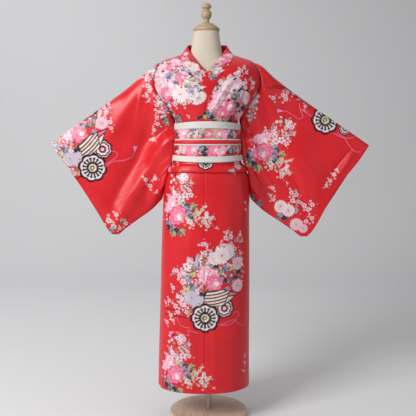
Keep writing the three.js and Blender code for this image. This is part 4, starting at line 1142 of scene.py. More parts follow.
# Soft washes on the chest. The white washes at x -184 paint a satin highlight down the armhole
# side, over the print; the other washes are dye.
CHEST_WASHES_AND_HIGHLIGHT = {
    "front_right": motif_rows("""
    white_wash -184 1325 84 88, -184 1270 60 84, -158 1330 100 82, -110 1345 68 150;
    pink_wash -165 1290 46 70; white_wash -70 1300 62 150; pink_wash -110 1375 34 0;
    white_wash -90 1262 60 175; lilac_wash -98 1330 40 30; white_wash -50 1262 42 150"""),
    "front_left": motif_rows("""
    lilac_wash 60 1240 70 60; white_wash 72 1296 46 20; pink_wash 70 1210 50 50;
    lilac_wash 112 1240 46 85"""),
}
COLLAR_LITTER = rows_of("""
    -80 1387 19 27 50 20, -46 1352 19 34 40 34, -38 1272 14 34 0 26, 57 1393 23 26 -50 26,
    24 1344 19 34 -40 20
""")
SASH_LITTER = rows_of("""
    -6 1123 119 17 0 130, -6 1061 123 19 0 140
""")
CART_LITTER = rows_of("""
    3 176 97 71 20 180, 64 244 52 33 20 54, -57 69 52 37 10 44, 117 172 34 67 0 44
""")
SPRAY_LITTER = rows_of("""
    -19 14 45 60 0 40, 30 3 30 45 0 20, 12 123 41 45 0 24, 92 -8 60 26 -10 16
""")

# Motifs by the armpits. On the right the white wash at x -170 carries the painted satin highlight
# of the armhole side further down; the pink wash and the leaves are dye.
ARMPITS = {
    "right": motif_rows("""
    white_wash -170 1262 44 88; pink_wash -168 1222 30 80; night -166 1188 28 250;
    moss -158 1172 28 240"""),
    "left": motif_rows("""
    lilac_wash 166 1235 34 96; night 160 1200 24 260"""),
}
ARMPIT_LITTER = {
    "right": rows_of("""
    -171 1236 20 74 6 60, -216 1348 22 34 -30 30"""),
    "left": rows_of("""
    168 1222 18 62 -8 40"""),
}

SKIRT_CORDS = lines_of("""
    -70 388, -97 392, -116 411, -119 427;
    -40 369, -78 376, -74 361, -93 361, -116 369, -136 366;
    40 399, 74 410, 100 414, 116 395, 135 387, 146 410, 150 434;
    47 399, 82 399, 108 418, 116 438, 104 445, 96 438
""")
RIGHT_SLEEVE_CORDS = lines_of("""
    -407 1002, -372 1021, -353 1044, -368 1055, -387 1048;
    -408 990, -372 1013, -322 1021, -295 1036, -287 1056
""")
LEFT_SLEEVE_CORDS = lines_of("""
    397 1189, 366 1208, 350 1223, 350 1238;
    385 1204, 354 1212, 362 1185, 351 1178, 324 1193, 293 1208, 280 1208;
    482 1124, 513 1109, 544 1105, 567 1109;
    498 1124, 525 1105, 545 1075, 572 1052, 591 1052
""")
LEFT_SLEEVE_SHAFTS = lines_of("""
    227 1295, 262 1295, 319 1273, 389 1220;
    242 1306, 284 1299, 350 1265, 412 1220
""")


def dye_front(piece, dye):
    """The skirt's and the chest's motifs, as they lie across all front pieces; the chest's washes
    include a painted satin highlight.
    """
    spray(dye, PEONY_SPRAY, -118, 815)
    spray(dye, PEONY_SPRAY, -128, 202)
    spray(dye, FLOWER_CART, -13, 427)
    scatter(dye, TUCK_AND_SIDES)
    cords(dye, SKIRT_CORDS)
    if piece.name in CHEST_LITTER:
        # The washes include a painted satin highlight down the right-hand armhole side.
        scatter(dye, CHEST_WASHES_AND_HIGHLIGHT[piece.name])
        litter(dye, CHEST_LITTER[piece.name])
        scatter(dye, CHEST_RIGHT_HAND if piece.name == "front_right" else CHEST_LEFT_HAND)
        litter(dye, CHEST_LITTER[piece.name], 0.16, 5)


def dye_back(dye):
    """The back carries the same cart and sprays at other heights."""
    spray(dye, FLOWER_CART, 40, 560, mirror=-1)
    spray(dye, PEONY_SPRAY, -105, 860)
    spray(dye, PEONY_SPRAY, 90, 245, mirror=-1)
    spray(dye, PEONY_SPRAY, -110, 330)
    spray(dye, FLOWER_CART, -70, 1185, mirror=-1, scale=0.9)
    spray(dye, PEONY_SPRAY, 110, 1290)
    spray(dye, PEONY_SPRAY, 135, 930, mirror=-1)


def dye_sleeve(dye, word, behind):
    if behind:
        side = -1 if word == "right" else 1
        spray(dye, PEONY_SPRAY, side * 320, 850, turn=-35 * side, mirror=-side, scale=0.9)
        spray(dye, PEONY_SPRAY, side * 225, 1120, turn=-35 * side, mirror=side)
        spray(dye, FLOWER_CART, side * 410, 915, turn=-35 * side, mirror=-side)
        return
    scatter(dye, ARMPITS[word])
    litter(dye, ARMPIT_LITTER[word])
    if word == "right":
        spray(dye, FLOWER_CART, -450, 990, turn=35)
        scatter(dye, RIGHT_SLEEVE)
        cords(dye, RIGHT_SLEEVE_CORDS)
    else:
        spray(dye, PEONY_SPRAY, 210, 1052, turn=-35)
        cords(dye, LEFT_SLEEVE_SHAFTS, "maroon", 3.4)
        cords(dye, LEFT_SLEEVE_CORDS)
        scatter(dye, LEFT_SLEEVE)


# ------------------------------------------------------------------ folds


# Half width, height, and the line as across and up, seen from the front or from behind.
FRONT_FOLDS = fold_rows("""
    5 4, -169 1260, -151 1209, -136 1157;
    4 -3, -154 1268, -136 1209, -121 1157;
    6 4, -136 1253, -114 1201, -92 1157;
    5 -2.5, -106 1231, -84 1194, -62 1164;
    9 4, -180 1363, -176 1304, -162 1253;
    9 3, -135 1370, -98 1304, -47 1246;
    6 -2, -150 1334, -121 1275, -69 1224;
    9 -3, -158 1348, -158 1297, -143 1253;
    6 4, 154 1289, 139 1223, 117 1164;
    5 -3, 139 1289, 121 1223, 98 1164;
    7 4, 116 1297, 87 1231, 58 1164;
    5 -2.5, 94 1304, 57 1238, 20 1172;
    9 3, 138 1370, 94 1326, 50 1267;
    7 4, 72 1304, 35 1245, -2 1179;
    8 -3, 161 1355, 161 1304, 150 1253;
    10 1.3, -68 769, -70 533, -71 280;
    18 1.1, -136 957, -144 762, -150 494, -155 182;
    16 -1, -102 964, -107 724, -112 378;
    20 1.3, 50 964, 58 724, 63 417;
    16 -1.2, 102 949, 107 686, 112 339;
    14 2, 13 494, 21 339, 29 143;
    12 -1.6, -32 378, -36 261, -40 135;
    12 1.8, 128 949, 129 837, 126 648;
    8 1.6, -159 874, -144 927, -114 960;
    8 1.4, 140 860, 121 919, 87 960;
    5 1.6, -136 1006, -84 999, -32 999;
    4 1.4, 20 1001, 72 996, 128 1004
""")
BACK_FOLDS = fold_rows("""
    9 3.5, -150 1330, -120 1260, -70 1185;
    7 -2.5, -125 1335, -95 1265, -45 1190;
    8 3.2, 140 1345, 118 1262, 84 1186;
    9 -2.8, 158 1320, 140 1250, 112 1186;
    10 2.6, 30 1340, 24 1265, 12 1188;
    8 -2.2, -22 1330, -26 1270, -20 1190;
    18 2.2, -120 950, -126 760, -122 420, -130 160;
    14 -1.8, -84 958, -86 700, -94 330;
    20 2, -38 940, -34 640, -40 200;
    12 -1.5, 10 930, 14 660, 8 390;
    16 2.2, 66 955, 74 720, 70 300, 78 150;
    12 -1.6, 112 948, 116 700, 110 420;
    14 1.8, 146 930, 150 690, 147 380;
    8 1.6, -150 880, -118 930, -70 962;
    8 1.4, 142 860, 118 922, 60 960
""")
SLEEVE_CREASES = {
    ("right", -1): fold_rows("""
    26 8, -246 1325, -296 1257, -351 1178;
    8 2.5, -250 1299, -266 1223, -278 1174;
    24 -6, -210 1240, -242 1100, -302 985, -372 880;
    30 13, -150 1130, -188 1063, -220 986, -272 905, -312 840, -352 785, -390 745;
    15 3, -167 1151, -164 1098, -179 1028;
    24 7, -452 875, -405 835, -360 815;
    18 4, -414 819, -360 780, -321 811;
    10 4, -204 1295, -209 1220, -194 1159;
    12 -4, -226 944, -204 885, -227 846"""),
    ("left", -1): fold_rows("""
    7 4, 181 1393, 200 1340, 216 1288;
    7 -4, 166 1378, 177 1310, 186 1250;
    16 5, 204 1310, 251 1204, 321 1098;
    14 -5, 159 1235, 182 1128, 245 1021;
    10 -9, 142 1170, 146 1100, 166 1000;
    9 4, 159 1143, 175 1059, 214 974, 277 882;
    7 -4, 144 1098, 168 998, 230 897;
    18 4, 352 1059, 423 959, 417 850;
    60 12, 290 1110, 372 1000, 400 900;
    9 5, 572 1063, 531 998, 486 936;
    7 -5, 553 1067, 500 998, 455 928;
    14 -4, 268 1059, 338 959, 371 850;
    12 4, 184 905, 246 850, 325 804;
    10 -3, 420 1174, 483 1098, 530 1052"""),
    ("right", 1): fold_rows("""
    18 6, -215 1325, -300 1215, -400 1120;
    10 -4, -205 1260, -270 1150, -350 1030;
    10 7, -180 1150, -236 1030, -330 900;
    12 5, -190 1010, -230 930, -290 850;
    14 -4, -330 1110, -380 990, -400 880;
    12 4, -500 1010, -440 930, -400 830"""),
    ("left", 1): fold_rows("""
    16 6, 205 1315, 270 1225, 380 1105;
    9 -4, 200 1230, 250 1110, 300 1000;
    9 7, 176 1140, 214 1020, 290 905;
    14 5, 320 1110, 400 1000, 430 880;
    11 -4, 196 980, 250 890, 330 830;
    12 4, 520 1040, 450 930, 405 800"""),
}


SEAMS = {  # depth of the valley and its half width; a hem or cuff is rolled outwards
    "side": (0.8, 3.5), "middle": (0.7, 3), "hem": (-0.5, 5), "armhole": (2.8, 5),
    "cuff": (-0.5, 5),
}


def sash_calm(piece):
    """The cloth lies still where the sash holds it, and along a sewn armhole."""
    z = piece.points[..., 2]
    calm = 1 - smooth((z - 1000) / 10) * smooth((1200 - z) / 30)
    if piece.name != "collar":
        armhole = smooth(piece.edge_distance(1, False) / 26)
        calm = calm * np.where(z > BODICE_Z, armhole, 1)
    return calm


def dress(piece, grid=2.4):
    """Lays the folds, seams and dye of one cloth."""
    name = piece.name
    word = name.split("_")[-1]
    if name.startswith(("front", "okumi", "collar")):
        piece.fold(FRONT_FOLDS, -1, sash_calm(piece))
    elif name.startswith("back"):
        piece.fold(BACK_FOLDS, 1, sash_calm(piece))
    elif name.startswith("sleeve"):
        for facing in (-1, 1):
            piece.fold(SLEEVE_CREASES[word, facing], facing, smooth(piece.along / 0.07))
    if name.startswith(("front", "back", "okumi")):
        bodice = smooth((piece.points[..., 2] - BODICE_Z) / 20)
        piece.seam(1, False, *SEAMS["side"], 1 - bodice)
        piece.seam(1, False, *SEAMS["armhole"], bodice)
        piece.seam(1, True, *SEAMS["middle"])
        piece.seam(0, False, *SEAMS["hem"])
    elif name.startswith("sleeve"):
        piece.seam(0, False, *SEAMS["armhole"])
        piece.seam(0, True, *SEAMS["cuff"])
    if name.startswith(("front", "okumi")):
        dye_front(piece, Dye(piece, -1, grid))
    elif name.startswith("back"):
        dye_back(Dye(piece, 1, grid))
    elif name == "collar":
        dye = Dye(piece, -1, grid)
        litter(dye, COLLAR_LITTER)
        scatter(dye, COLLAR_PRINT)
    elif name == "obi":
        for facing in (-1, 1):
            dye = Dye(piece, facing, grid)
            litter(dye, SASH_LITTER, 0.6)
            scatter(dye, [(kind, -facing * x, *rest) for kind, x, *rest in SASH_FLOWERS])
    elif name.startswith("sleeve"):
        for facing in (-1, 1):
            dye = Dye(piece, facing, grid)
            dye.open = piece.front.reshape(-1) * facing > 0
            dye_sleeve(dye, word, facing > 0)


# ------------------------------------------------------------------ materials


class Nodes:
    """A short way to write a material's nodes."""

    def __init__(self, name):
        self.material = bpy.data.materials.get(name) or bpy.data.materials.new(name)
        self.material.use_nodes = True
        self.tree = self.material.node_tree
        self.tree.nodes.clear()
        self.shader = self.add("ShaderNodeBsdfPrincipled")
        out = self.add("ShaderNodeOutputMaterial")
        self.link(self.shader.outputs["BSDF"], out.inputs["Surface"])

    def add(self, kind, **values):
        node = self.tree.nodes.new(kind)
        for key, value in values.items():
            if hasattr(node, key):
                setattr(node, key, value)
            else:
                self.put(value, node.inputs[key.replace("_", " ")])
        return node

    def link(self, source, target):
        self.tree.links.new(source, target)

    def put(self, value, socket):
        """Links an output to a socket, or sets the socket to a plain value."""
        if isinstance(value, bpy.types.NodeSocket):
            self.link(value, socket)
        else:
            socket.default_value = value

    def coordinates(self, kind="Object", scale=(1, 1, 1)):
        mapping = self.add("ShaderNodeMapping", Scale=scale)
        if kind == "Object":
            source = self.add("ShaderNodeTexCoord").outputs["Object"]
        else:
            source = self.add("ShaderNodeUVMap", uv_map=kind).outputs["UV"]
        self.link(source, mapping.inputs["Vector"])
        return mapping.outputs["Vector"]

    def noise(self, vector, scale, detail=3.0, roughness=0.5):
        return self.add("ShaderNodeTexNoise", Vector=vector, Scale=scale, Detail=detail,
                        Roughness=roughness).outputs["Fac"]

    def wave(self, vector, scale, direction="X", distortion=0.0):
        return self.add("ShaderNodeTexWave", bands_direction=direction, Vector=vector,
                        Scale=scale, Distortion=distortion).outputs["Fac"]

    def ramp(self, value, low, high, start=0.0, end=1.0):
        return self.add("ShaderNodeMapRange", Value=value, From_Min=start, From_Max=end,
                        To_Min=low, To_Max=high).outputs["Result"]

    def mix_colours(self, factor, a, b, blend="MIX"):
        node = self.add("ShaderNodeMix", data_type="RGBA", blend_type=blend)
        for index, value in ((0, factor), (6, a), (7, b)):
            self.put(value, node.inputs[index])
        return node.outputs[2]

    def toned(self, value, colour, dark, light, end=0.7):
        """A colour that a noise's middle values shift between a darker and a lighter tone."""
        return self.mix_colours(self.ramp(value, 0, 1, 0.3, end), rgba(colour, dark),
                                rgba(colour, light))

    def maths(self, operation, a, b):
        node = self.add("ShaderNodeMath", operation=operation)
        for index, value in enumerate((a, b)):
            self.put(value, node.inputs[index])
        return node.outputs["Value"]

    def bump(self, height, strength, distance):
        node = self.add("ShaderNodeBump", Strength=strength, Distance=distance, Height=height)
        return node.outputs["Normal"]

    def surface(self, **values):
        for key, value in values.items():
            self.put(value, self.shader.inputs[key.replace("_", " ")])
        return self.material


def rgba(colour, gain=1.0):
    return (*(min(1.0, channel * gain) for channel in colour), 1.0)


def silk(name, colour, weave_mm=1.1, sheen=0.0, roughness=0.33, printed=True):
    """Silk crepe: a fine crinkled weave, soft cloudy tone, and the print laid over the ground,
    which on the chest holds a painted satin highlight.
    """
    nodes = Nodes(name)
    cloth = nodes.coordinates("weave")
    space = nodes.coordinates()
    cloud = nodes.noise(space, 9.0, 3.0, 0.55)
    thread = nodes.noise(nodes.coordinates("weave", (1, 0.35, 1)), 1000 / weave_mm, 2.0, 0.6)
    ground = nodes.toned(cloud, colour, 0.9, 1.08)
    ground = nodes.mix_colours(nodes.ramp(thread, 0, 0.28, 0.35, 0.7), ground,
                               rgba(colour, 0.72))
    if printed:
        # Printed colours, with a painted satin highlight among them on the chest.
        dye = nodes.add("ShaderNodeVertexColor", layer_name="dye")
        faded = nodes.mix_colours(nodes.ramp(thread, 0, 0.16, 0.35, 0.7), dye.outputs["Color"],
                                  rgba((0.35, 0.25, 0.22)), "MULTIPLY")
        ground = nodes.mix_colours(dye.outputs["Alpha"], ground, faded)
    warp = nodes.wave(cloth, 900, "X", 1.5)
    crinkle = nodes.maths("ADD", nodes.maths("MULTIPLY", thread, 0.8),
                          nodes.maths("MULTIPLY", warp, 0.25))
    rough = nodes.ramp(cloud, roughness - 0.05, roughness + 0.08, 0.3, 0.7)
    return nodes.surface(Base_Color=ground, Roughness=rough, Sheen_Weight=sheen,
                         Sheen_Roughness=0.38, Sheen_Tint=rgba((1.0, 0.72, 0.74)),
                         Specular_IOR_Level=0.36,
                         Normal=nodes.bump(crinkle, 0.35, 0.0004))


def wood(name, colour, ring=(5, 5, 38)):
    """Turned wood: grain drawn out along the height, under a thin dull varnish."""
    nodes = Nodes(name)
    space = nodes.coordinates("Object", ring)
    grain = nodes.noise(space, 9.0, 6.0, 0.62)
    pores = nodes.noise(nodes.coordinates("Object", (260, 260, 40)), 3.0, 2.0)
    tone = nodes.toned(grain, colour, 0.72, 1.16, 0.72)
    tone = nodes.mix_colours(nodes.ramp(pores, 0, 0.35, 0.55, 0.72), tone, rgba(colour, 0.5))
    return nodes.surface(Base_Color=tone, Roughness=nodes.ramp(grain, 0.45, 0.6, 0.3, 0.7),
                         Coat_Weight=0.05, Coat_Roughness=0.4,
                         Normal=nodes.bump(pores, 0.25, 0.0003))


def linen(name, colour):
    nodes = Nodes(name)
    space = nodes.coordinates()
    warp = nodes.wave(space, 420, "Z", 1.2)
    weft = nodes.wave(space, 420, "X", 1.2)
    cloud = nodes.noise(space, 14.0)
    weave = nodes.maths("ADD", warp, weft)
    tone = nodes.toned(cloud, colour, 0.92, 1.05)
    tone = nodes.mix_colours(nodes.ramp(weave, 0, 0.2, 0.4, 1.6), rgba(colour, 0.8), tone)
    return nodes.surface(Base_Color=tone, Roughness=nodes.ramp(cloud, 0.82, 0.95, 0.3, 0.7),
                         Sheen_Weight=0.2, Normal=nodes.bump(weave, 0.25, 0.0004))


def metal(name, colour):
    nodes = Nodes(name)
    brushed = nodes.noise(nodes.coordinates("Object", (220, 220, 6)), 6.0, 4.0, 0.6)
    tone = nodes.toned(brushed, colour, 0.82, 1.05)
    return nodes.surface(Base_Color=tone, Roughness=nodes.ramp(brushed, 0.28, 0.48, 0.3, 0.7),
                         Metallic=0.7, Normal=nodes.bump(brushed, 0.15, 0.0002))


def plain(name, colour):
    """The studio's paper: nearly even, with a breath of tone."""
    nodes = Nodes(name)
    cloud = nodes.noise(nodes.coordinates(), 1.3)
    return nodes.surface(Base_Color=nodes.toned(cloud, colour, 0.985, 1.0), Roughness=0.9)


# ------------------------------------------------------------------ what a user may change


def colour_property(name, description, default):
    return FloatVectorProperty(name=name, description=description, default=default,
                               subtype="COLOR", size=3, min=0, max=1)


class KIMONO_PG_cloth(bpy.types.PropertyGroup):
    """The kimono's silk."""

    red: colour_property("Red ground", "Colour of the silk between the motifs",
                         (0.64, 0.011, 0.018))
    thread: FloatProperty(name="Thread", description="Size of the crepe's crinkle",
                          default=1.1, min=0.4, max=4)
    sheen: FloatProperty(name="Sheen", description="How much the silk glows at its folds",
                         default=0.0, min=0, max=1, subtype="FACTOR")
    grid: FloatProperty(name="Grid", description="Spacing of the points on the face side",
                        default=0.0024, min=0.0015, max=0.02, unit="LENGTH")
    back_grid: FloatProperty(name="Back grid", description="Spacing of the points behind",
                             default=0.0046, min=0.002, max=0.03, unit="LENGTH")


class KIMONO_PG_sash(bpy.types.PropertyGroup):
    """The sash and its bands."""

    ground: colour_property("Sash ground", "Colour of the sash between its flowers",
                            (0.56, 0.016, 0.024))
    white: colour_property("Band white", "Colour of the white bands", (0.63, 0.62, 0.59))


class KIMONO_PG_form(bpy.types.PropertyGroup):
    """The dress form and its stand."""

    linen: colour_property("Linen", "Colour of the form's cover", (0.70, 0.61, 0.49))
    turned: colour_property("Turned wood", "Colour of the neck cap and finial",
                            (0.44, 0.31, 0.18))
    foot: colour_property("Foot wood", "Colour of the round foot", (0.66, 0.47, 0.35))
    pole: colour_property("Pole", "Colour of the pole", (0.50, 0.46, 0.41))


class KIMONO_PG_stage(bpy.types.PropertyGroup):
    """The floor, the light and the camera."""

    floor: colour_property("Floor", "Colour of the floor and backdrop", (0.74, 0.74, 0.75))
    key: FloatProperty(name="Key light", description="Power of the large soft light",
                       default=150, min=0, unit="POWER")
    fill: FloatProperty(name="Fill light", description="Power of the weaker soft light",
                        default=16, min=0, unit="POWER")
    pitch: FloatProperty(name="Camera pitch", description="How far the camera looks down",
                         default=math.radians(5.6), subtype="ANGLE")


# ------------------------------------------------------------------ operators


def declare(piece, node, slot, flat=None, **sheet):
    """Hands a piece to the frame: it rides the root body and stands for its node, which is
    hidden.
    """
    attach(piece, "root")
    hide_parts(node)


def red_silk(scene):
    cloth = scene.kimono_cloth
    return silk("red_satin", cloth.red, cloth.thread, cloth.sheen)


class KIMONO_OT_stage(bpy.types.Operator):
    """Sets the camera, a pale floor that sweeps up behind, and soft studio light."""

    bl_idname = "kimono.stage"
    bl_label = "Stage"

    def execute(self, context):
        stage = context.scene.kimono_stage
        data = bpy.data.cameras.new("camera")
        data.sensor_fit = "HORIZONTAL"
        data.sensor_width = SENSOR
        data.lens = SENSOR * FOCAL / PICTURE
        camera = link_new("camera", data)
        camera.location = CAMERA_PLACE
        camera.rotation_euler = (math.pi / 2 - stage.pitch, 0, 0)
        context.scene.camera = camera

        profile = [(-7.0, 0.0), (2.6, 0.0)]
        profile += [(2.6 + 1.6 * math.sin(a), 1.6 - 1.6 * math.cos(a))
                    for a in np.radians(np.arange(6, 91, 6))]
        profile.append((4.2, 7.0))
        vertices = [(x, y, z) for y, z in profile for x in (-8.0, 8.0)]
        faces = [(2 * k, 2 * k + 1, 2 * k + 3, 2 * k + 2) for k in range(len(profile) - 1)]
        floor = new_piece("floor", vertices, faces, plain("paper", stage.floor))
        floor.data.polygons.foreach_set("use_smooth", [True] * len(faces))

        lights = [
            ("key", stage.key, 1.7, (-2.45, -2.5, 2.7), (0, 0, 1.0)),
            ("fill", stage.fill, 3.0, (2.8, -2.2, 1.8), (0, 0, 0.9)),
            ("top", stage.fill, 2.6, (0.2, 0.8, 3.6), (0, 0, 1.0)),
            ("backdrop", stage.key * 0.22, 2.4, (-2.2, 1.4, 3.4), (-1.6, 4.4, 0.9)),
        ]
        for name, power, size, place, target in lights:
            data = bpy.data.lights.new(name, "AREA")
            data.energy = power
            data.size = size
            lamp = link_new(name, data)
            lamp.location = place
            aim = Vector(target) - Vector(place)
            lamp.rotation_euler = aim.to_track_quat("-Z", "Y").to_euler()
        world = bpy.data.worlds.new("studio")
        world.use_nodes = True
        background = world.node_tree.nodes["Background"].inputs
        background["Color"].default_value = (0.86, 0.87, 0.88, 1)
        background["Strength"].default_value = 0.28
        context.scene.world = world
        context.scene.view_settings.view_transform = "Standard"
        return {"FINISHED"}


class KIMONO_OT_body_panels(bpy.types.Operator):
    """Makes the four body panels, from the hem through the tuck to the shoulders."""

    bl_idname = "kimono.body_panels"
    bl_label = "Body panels"

    PANELS = [("front_left", "over", 1, 1.0, 260), ("front_right", "under", -1, 1.0, 260),
              ("back_left", "back", 1, 0, 300), ("back_right", "back", -1, 0, 300)]

    def execute(self, context):
        cloth = context.scene.kimono_cloth
        silk_red = red_silk(context.scene)
        for name, layer, side, share, width in self.PANELS:
            grid = (cloth.grid * share if share else cloth.back_grid) / MM
            hidden = 8.0 if layer == "under" else grid
            bend = lambda t: np.where(t > TUCK_STEPS[1], grid,
                                      np.where(t > TUCK_STEPS[0], min(1.6, grid), hidden))
            line = lambda t: panel_points(layer, side, t, [0.4])[:, 0]
            t = evenly(line, ROUTE_END + 1, bend)
            u = np.linspace(0, 1, in_strides(width, grid) + 1)
            piece = Cloth(name, panel_points(layer, side, t, u), around_torso)
            piece.flat[..., 0] = (piece.points[:, -1:, 0]
                                  + side * (piece.flat[:, -1:, 0] - piece.flat[..., 0]))
            piece.lengthen_over_shoulder()
            dress(piece, grid)
            ridge = np.zeros(piece.cover.shape, bool)
            ridge[-1] = (np.abs(piece.points[-1, :, 2]
                                - shoulder_z(np.abs(piece.points[-1, :, 0] - BODICE_X))) < 0.1)
            made = piece.build(CLOTH_WALL, silk_red, ridge)
            declare(made, name, "red_satin", (0.27, 1.46), held="draped",
                    rests_on=["linen_form"], area=0.36)
        return {"FINISHED"}


class KIMONO_OT_front_edges(bpy.types.Operator):
    """Makes the narrow front edge pieces that wrap across the front."""

    bl_idname = "kimono.front_edges"
    bl_label = "Front edge pieces"

    def execute(self, context):
        cloth = context.scene.kimono_cloth
        silk_red = red_silk(context.scene)
        for name, layer, side, share in (("okumi_left", "over", 1, 1.0),
                                         ("okumi_right", "under", -1, 2.5)):
            grid = cloth.grid * share / MM
            bend = lambda t: np.where(t > TUCK_STEPS[0], min(1.6, grid), grid)
            t = evenly(lambda t: okumi_points(layer, t, [0.4])[:, 0], OKUMI_END, bend)
            u = np.linspace(0, 1, in_strides(185, grid) + 1)
            piece = Cloth(name, okumi_points(layer, t, u), around_torso)
            piece.flat[..., 0] = piece.points[:, :1, 0] - side * piece.flat[..., 0]
            dress(piece, grid)
            made = piece.build(CLOTH_WALL, silk_red)
            declare(made, name, "red_satin", (0.19, 1.02), held="draped",
                    rests_on=FRONTS)
        return {"FINISHED"}


class KIMONO_OT_collar(bpy.types.Operator):
    """Makes the folded collar, from the sash round the neck and back to the sash."""

    bl_idname = "kimono.collar"
    bl_label = "Collar"

    def execute(self, context):
        grid = context.scene.kimono_cloth.grid / MM
        piece = Cloth("collar", collar_points(grid), around_torso)
        piece.flat[..., 1] = travelled(gaps(piece.points))
        dress(piece)
        made = piece.build(COLLAR_WALL, red_silk(context.scene))
        declare(made, "collar", "red_satin", (0.06, 1.06), held="folded",
                rests_on=BODY_PANELS)
        return {"FINISHED"}


class KIMONO_OT_sleeves(bpy.types.Operator):
    """Makes the two long hanging sleeves as flat tubes sewn in at the armholes."""

    bl_idname = "kimono.sleeves"
    bl_label = "Sleeves"

    def execute(self, context):
        cloth = context.scene.kimono_cloth
        silk_red = red_silk(context.scene)
        for word, options in SLEEVE_SIDES.items():
            points, along, towards = sleeve_points(spacing=cloth.grid * 1.15 / MM, **options)
            front = np.broadcast_to(towards, points.shape[:2])
            piece = Cloth(f"sleeve_{word}", points,
                          lambda p: np.stack([0 * front, front, 0 * front], -1), loop=True)
            piece.flat = points[..., [0, 2]].copy()
            piece.front = front
            piece.along = along
            dress(piece)
            made = piece.build(CLOTH_WALL, silk_red)
            declare(made, f"sleeve_{word}", "red_satin", (0.50, 0.92), held="hung",
                    rests_on=BODY_PANELS)
        return {"FINISHED"}


class KIMONO_OT_sash(bpy.types.Operator):
    """Makes the wide sash, wound round the waist and lapped behind."""

    bl_idname = "kimono.sash"
    bl_label = "Sash"

    def execute(self, context):
        scene = context.scene
        grid = scene.kimono_cloth.grid / MM
        run = np.linspace(0, SASH_END, in_strides(SASH_GIRTH, grid) + 1)[None, :]
        share = np.linspace(0, 1, in_strides(SASH_TALL, grid) + 1)[:, None]
        piece = Cloth("obi", sash_points(run, share, 0), around_torso)
        dress(piece)
        made = piece.build(2.4, silk("sash_cloth", scene.kimono_sash.ground, 1.6, 0.2, 0.5))
        declare(made, "obi", "sash_cloth", (0.15, 0.83), held="folded",
                rests_on=BODY_PANELS)
        return {"FINISHED"}


class KIMONO_OT_sash_bands(bpy.types.Operator):
    """Makes the white bands and the flat cord that lie on the sash."""

    bl_idname = "kimono.sash_bands"
    bl_label = "Bands and cord"

    def execute(self, context):
        scene = context.scene
        white = silk("white_band", scene.kimono_sash.white, 1.4, 0.15, 0.6, printed=False)
        cord = silk("sash_cord", scene.kimono_cloth.red, 1.6, 0.3, 0.45, printed=False)
        made = {}
        for name, (low, high, crown) in BANDS.items():
            run = np.linspace(25, SASH_END, STRIDE * 75 + 1)[None, :]
            rows = STRIDE * max(1, round((high - low) * SASH_TALL / 8))
            share = np.linspace(low, high, rows + 1)[:, None]
            bulge = np.sqrt(np.clip(1 - (2 * (share - low) / (high - low) - 1) ** 4, 0, 1))
            piece = Cloth(name, sash_points(run, share, 2.15 + crown * bulge - 0.5), around_torso)
            dress(piece)
            made[name] = piece.build(1.2, cord if name == "obijime" else white)
            declare(made[name], name, "sash_cord" if name == "obijime" else "white_band")
        for name, with_pieces in (("obi_band_top", ()), ("obi_band_bottom", ()),
                                  ("obijime", (made["obijime_edge_top"],
                                               made["obijime_edge_bottom"]))):
            low, high, _ = BANDS[name]
        return {"FINISHED"}


def closed_rings(name, stacks, material):
    """A smooth skin over stacks of rings, each closed at both ends."""
    vertices, faces = [], []
    for rings in stacks:
        rows, cols = rings.shape[:2]
        first = len(vertices)
        vertices += (rings.reshape(-1, 3) * MM).tolist()
        for i in range(rows - 1):
            for j in range(cols):
                a, b = first + i * cols + j, first + i * cols + (j + 1) % cols
                faces.append((a, b, b + cols, a + cols))
        for row, order in ((0, -1), (rows - 1, 1)):
            faces.append([first + row * cols + j for j in range(cols)][::order])
    piece = new_piece(name, vertices, faces, material)
    piece.data.polygons.foreach_set("use_smooth", [len(face) == 4 for face in faces])
    return piece


class KIMONO_OT_dress_form(bpy.types.Operator):
    """Makes the limbless dress form that the kimono is worn on."""

    bl_idname = "kimono.dress_form"
    bl_label = "Dress form"

    def execute(self, context):
        turn = np.arange(0, 360, 3.0)
        sine, cosine = np.sin(np.radians(turn)), np.cos(np.radians(turn))

        def ring(x, y, z, half, front, back):
            depth = np.where(cosine > 0, front, back)
            xs = x + half * signed_pow(sine, 2 / ROUND)
            return np.stack([xs, y - depth * signed_pow(cosine, 2 / ROUND), z + 0 * xs], -1)

        body = [ring(body_centre(z), 0, z, body_half(z) - FORM_INSET, body_front(z) - FORM_INSET,
                     body_back(z) - FORM_INSET) for z in np.arange(880, 1165, 12.0)]
        for share in [*np.arange(0, 0.9, 0.05), 0.9, 0.93, 0.96, 0.98, 0.99, 0.998]:
            oval = ring(BODICE_X, RIDGE_Y * smooth(share / 0.9), 0, form_half(share),
                        form_front(share), form_back(share))
            oval[:, 2] = mix(BODICE_Z, shoulder_z(np.abs(oval[:, 0] - BODICE_X)) - 1.1, share)
            body.append(oval)
        sizes = columns(NECK)
        neck = [ring(NECK_X, 0, z, *(size(z) for size in sizes))
                for z in np.arange(1380, 1508.1, 4)]
        made = closed_rings(PIECES["form_torso"], [np.array(body), np.array(neck)],
                            linen("form_linen", context.scene.kimono_form.linen))
        declare(made, "form_torso", "form_linen")
        return {"FINISHED"}


